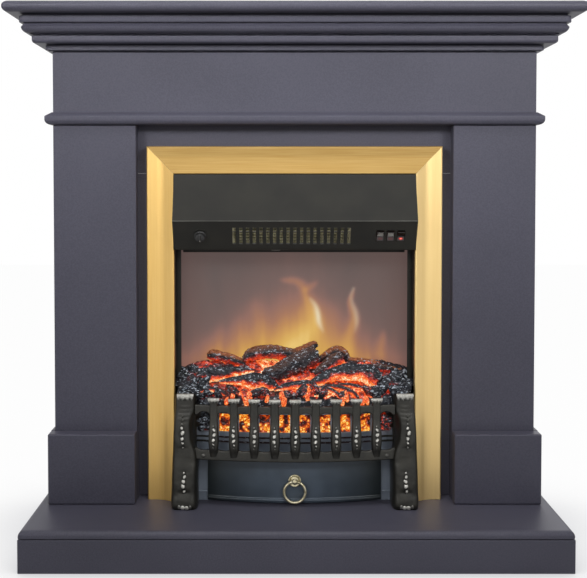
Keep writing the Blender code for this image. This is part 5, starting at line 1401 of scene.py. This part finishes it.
def make_cover(material):
    """Bowed ash-pan cover with a rolled foot, and the two pins that it draws on."""
    low, high = corners("ash_pan_cover")
    half, sagitta, wall = high[0], 20 * MM, 2.5 * MM
    side_y, foot = low[1] + sagitta, low[2]
    section = np.vstack([
        [[0, high[2]], [0, foot + 10 * MM], [-0.6 * MM, foot + 8.2 * MM], [0, foot + 7.2 * MM]],
        arc((0.6 * MM, foot + 4.2 * MM), 1.6 * MM, 115, -90, 12),
        [[0, foot + 0.6 * MM], [-0.4 * MM, foot], [-wall, foot], [-wall, high[2]]],
    ])
    x = np.linspace(-half, half, 90)[:, None]
    lean = np.arcsin(x / ((half**2 + sagitta**2) / (2 * sagitta)))
    out = section[:, 0]
    across = np.clip(x + out * np.sin(lean), -half, half)
    sheet = spread(across, side_y - bow(x, half, sagitta) - out * np.cos(lean), section[:, 1])
    pins = []
    for pin_x in (-100 * MM, 100 * MM):
        start = side_y - float(bow(pin_x, half, sagitta)) + 1.2 * MM
        reach = high[1] - start
        profile = [(0.2 * MM, 0), (3 * MM, 0), (3 * MM, reach - 1 * MM), (2.2 * MM, reach)]
        pins.append(turned(profile, (pin_x, start, foot + 60 * MM), (0, 1, 0), 32))
    shape = joined(grid_shape(sheet), *pins)
    piece("cover_enamelled", shape, material, "grey_steel", "cover", ["ash_pan_cover"], sharp=40)


def make_ring_pull(material):
    """Rosette with a turned knob, and the ring that hangs through it."""
    hinge = np.array(JOINTS["ring_swing"]["pos_m"])
    face = corners("ring_rosette")[1][1]
    ball = arc((0, face - hinge[1]), 5.2 * MM, 88, -34, 18)
    dish = [(4.4 * MM, 2.6 * MM), (6.0 * MM, 2.0 * MM), (7.6 * MM, 2.2 * MM)]
    rim = arc((9.2 * MM, 1.5 * MM), 1.5 * MM, 90, -90, 10)
    profile = np.vstack([ball, dish, rim, [[0.2 * MM, 0]]])
    rosette = turned(profile, (0, face, hinge[2]), (0, -1, 0), 72)
    piece("rosette_turned", rosette, material, "aged_brass", "cover", ["ring_rosette"])
    radius, thick = 17.8 * MM, 2.4 * MM
    sweep, section = full_turn(120)[:, None], full_turn(20)
    out = radius + thick * np.cos(section)
    depth, rise = hinge[1] + thick * np.sin(section), hinge[2] - radius + out * np.cos(sweep)
    ring = grid_shape(spread(out * np.sin(sweep), depth, rise), loop=True)
    piece("ring_bent_wire", ring, material, "aged_brass", "ring", ["ring_handle"])


def screw_heads(name, spots, axis, material, slot, radius=3.2 * MM):
    """Pan-head screws at the given places."""
    profile = [
        (0.2 * MM, -1 * MM), (radius, -1 * MM), (radius, 0.5 * MM), (0.8 * radius, 1.3 * MM),
        (0.5 * radius, 1.6 * MM), (0.32 * radius, 1.6 * MM), (0.28 * radius, 0.8 * MM),
        (0.1 * MM, 0.8 * MM),
    ]
    piece(name, joined(*[turned(profile, spot, axis, 28) for spot in spots]), material, slot)


def make_screws(black, zinc):
    """Screws of the screen strips and of the rear cover."""
    spots = [(side * 199.6 * MM, STRIP_FACE, z) for side in (-1, 1) for z in (334 * MM, 457 * MM)]
    screw_heads("strip_screws", spots, (0, -1, 0), black, "black_steel", 2.6 * MM)
    low, high = corners("rear_cover")
    edge = 9 * MM
    xs = np.linspace(low[0] + edge, high[0] - edge, 4)
    zs = np.linspace(low[2] + edge, high[2] - edge, 4)
    spots = [(x, high[1], z) for x in xs for z in (zs[0], zs[-1])]
    spots += [(x, high[1], z) for x in (xs[0], xs[-1]) for z in zs[1:-1]]
    screw_heads("rear_cover_screws", spots, (0, 1, 0), zinc, "galvanised_steel")


def dress_nodes(finishes):
    """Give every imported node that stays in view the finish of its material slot."""
    slots = {entry["node"]: entry["material_slot"] for entry in frame["record"]["subparts"]}
    for name, obj in frame["nodes"].items():
        obj.data.materials.clear()
        obj.data.materials.append(finishes.get(name) or finishes[slots[name]])


# Lamp: name, place, aim, width and height in metres, spread in degrees and power in watts
LAMPS = (
    ("key_left", (-1.6, -2.5, 1.73), (0.12, 0.0, 1.36), (0.9, 0.8), 50, 5.5),
    ("key_right", (1.6, -2.5, 1.73), (-0.05, 0.0, 1.36), (0.9, 0.8), 50, 5.6),
    ("front", (-0.1, -2.3, 1.30), (0.0, 0.0, 0.75), (1.4, 0.6), 90, 1.2),
    ("top", (0.0, -0.85, 2.30), (0.0, -0.40, 0.0), (1.4, 0.4), 60, 3.2),
    ("back", (0.4, 2.2, 2.0), (0.0, 0.2, 0.5), (1.5, 1.5), 120, 12.0),
)
WORLD_LIGHT = 0.05
FLOOR_LIFT = 0.98
SHADOW_REACH = 0.30
FLOOR_HALF = 6.0


def make_studio(material):
    """White floor, white surroundings for the eye and for reflections, and soft lamps."""
    corner = np.array([[-1, -1, 0], [1, -1, 0], [1, 1, 0], [-1, 1, 0]]) * FLOOR_HALF
    mesh = bpy.data.meshes.new("studio_floor")
    mesh.from_pydata(corner.tolist(), [], [(0, 1, 2, 3)])
    mesh.materials.append(material)
    floor = bpy.data.objects.new("studio_floor", mesh)
    bpy.context.scene.collection.objects.link(floor)
    for name, place, aim, size, spread, power in LAMPS:
        lamp = bpy.data.lights.new(f"lamp_{name}", "AREA")
        lamp.shape = "RECTANGLE"
        lamp.size, lamp.size_y = size
        lamp.spread = math.radians(spread)
        lamp.energy = power
        obj = bpy.data.objects.new(f"lamp_{name}", lamp)
        obj.location = place
        back = obj.location - type(obj.location)(aim)
        obj.rotation_euler = back.to_track_quat("Z", "Y").to_euler()
        bpy.context.scene.collection.objects.link(obj)
    world = bpy.data.worlds.new("studio")
    bpy.context.scene.world = world
    world.use_nodes = True
    tree = world.node_tree
    share = ray_share(tree, "Camera", "Glossy", "Transmission")
    power = add_node(tree, RANGE, {"To Min": WORLD_LIGHT, "To Max": 1.0}, {"Value": share})
    wire(tree, tree.nodes["Background"], {"Color": (1, 1, 1, 1)}, {"Strength": power})


def make_camera():
    """Camera a little left of the middle, tipped down slightly, its frame shifted to hold the mantel."""
    data = bpy.data.cameras.new("camera")
    data.lens = CAMERA_LENS
    data.sensor_width = 36.0
    data.shift_x, data.shift_y = CAMERA_SHIFT
    obj = bpy.data.objects.new("camera", data)
    obj.location = CAMERA_PLACE
    obj.rotation_euler = (math.pi / 2 - CAMERA_LEAN, 0, 0)
    bpy.context.scene.collection.objects.link(obj)
    bpy.context.scene.camera = obj


paint = painted_mdf()
black = powder_coat("black_powder_coat", "#1f1e1b", "#282722")
brass_upright = brushed_brass("linished_brass_upright", 2, "#d2a95e", "#e2bc74", 0.40)
# Painted light: a paler copy of the same brass, for the right upright
brass_right_painted_lighter = brushed_brass("linished_brass_right_painted_lighter", 2, "#d9b877", "#ebcd92", 0.40)
# Painted shade: a darker, rougher copy of the same brass, for the head
brass_level_painted_darker = brushed_brass("linished_brass_level_painted_darker", 0, "#92733e", "#a08146", 0.50)
old_brass = antique_brass()
enamel = vitreous_enamel("stove_enamel_painted_end_shade", "#55616e", "#657280", 0.88)
# Painted light: a lighter copy of the blue-grey enamel, for panels that sit in shade
plate = vitreous_enamel("plate_enamel_painted_lighter", "#7f8996", "#8f99a7", 0.0)
# Pale steel for small parts that carry painted highlights: the hood's nose and clip, louvre lips, knob pointer
steel = powder_coat("pale_steel_painted_highlight", "#5c5b57", "#7a7974", 0.3, 0.42)
zinc = galvanised_sheet()
iron = blackened_iron()
plastic = moulded_abs()
resin = charred_resin("charred_resin", EMBER_STOPS)
coals = charred_resin("lit_coal_strip", COAL_STOPS)

make_camera()
make_studio(white_floor())
dress_nodes({
    "painted_mdf": paint,
    "brass_trim": brass_upright,
    "aged_brass": old_brass,
    "black_steel": black,
    "grey_steel": plate,
    "galvanised_steel": zinc,
    "black_cast_iron": iron,
    "black_plastic": plastic,
    "flame_screen": plastic,
    "lamp_glass": opal_glass(),
    "fuel_resin": resin,
    "ember_glow": coals,
    "mirror_foil": bright_foil(),
    "heater_block": aluminium_fins(),
})
make_mouldings(paint)
make_belt(paint)
make_trim(brass_upright, brass_right_painted_lighter, brass_level_painted_darker)
make_hood(black, steel)
make_louvres(steel)
make_screen_channel(black)
make_rockers(rocker_plastic())
make_knob(plastic, black, steel)
make_flame_screen(frosted_screen())
make_fuel(resin)
make_grate(iron)
make_returns(plate, black)
make_post("left", -1, iron)
make_post("right", 1, iron)
make_ember_strip(coals)
make_cover(enamel)
make_ring_pull(old_brass)
make_screws(black, zinc)

bpy.context.scene.view_settings.view_transform = "Standard"
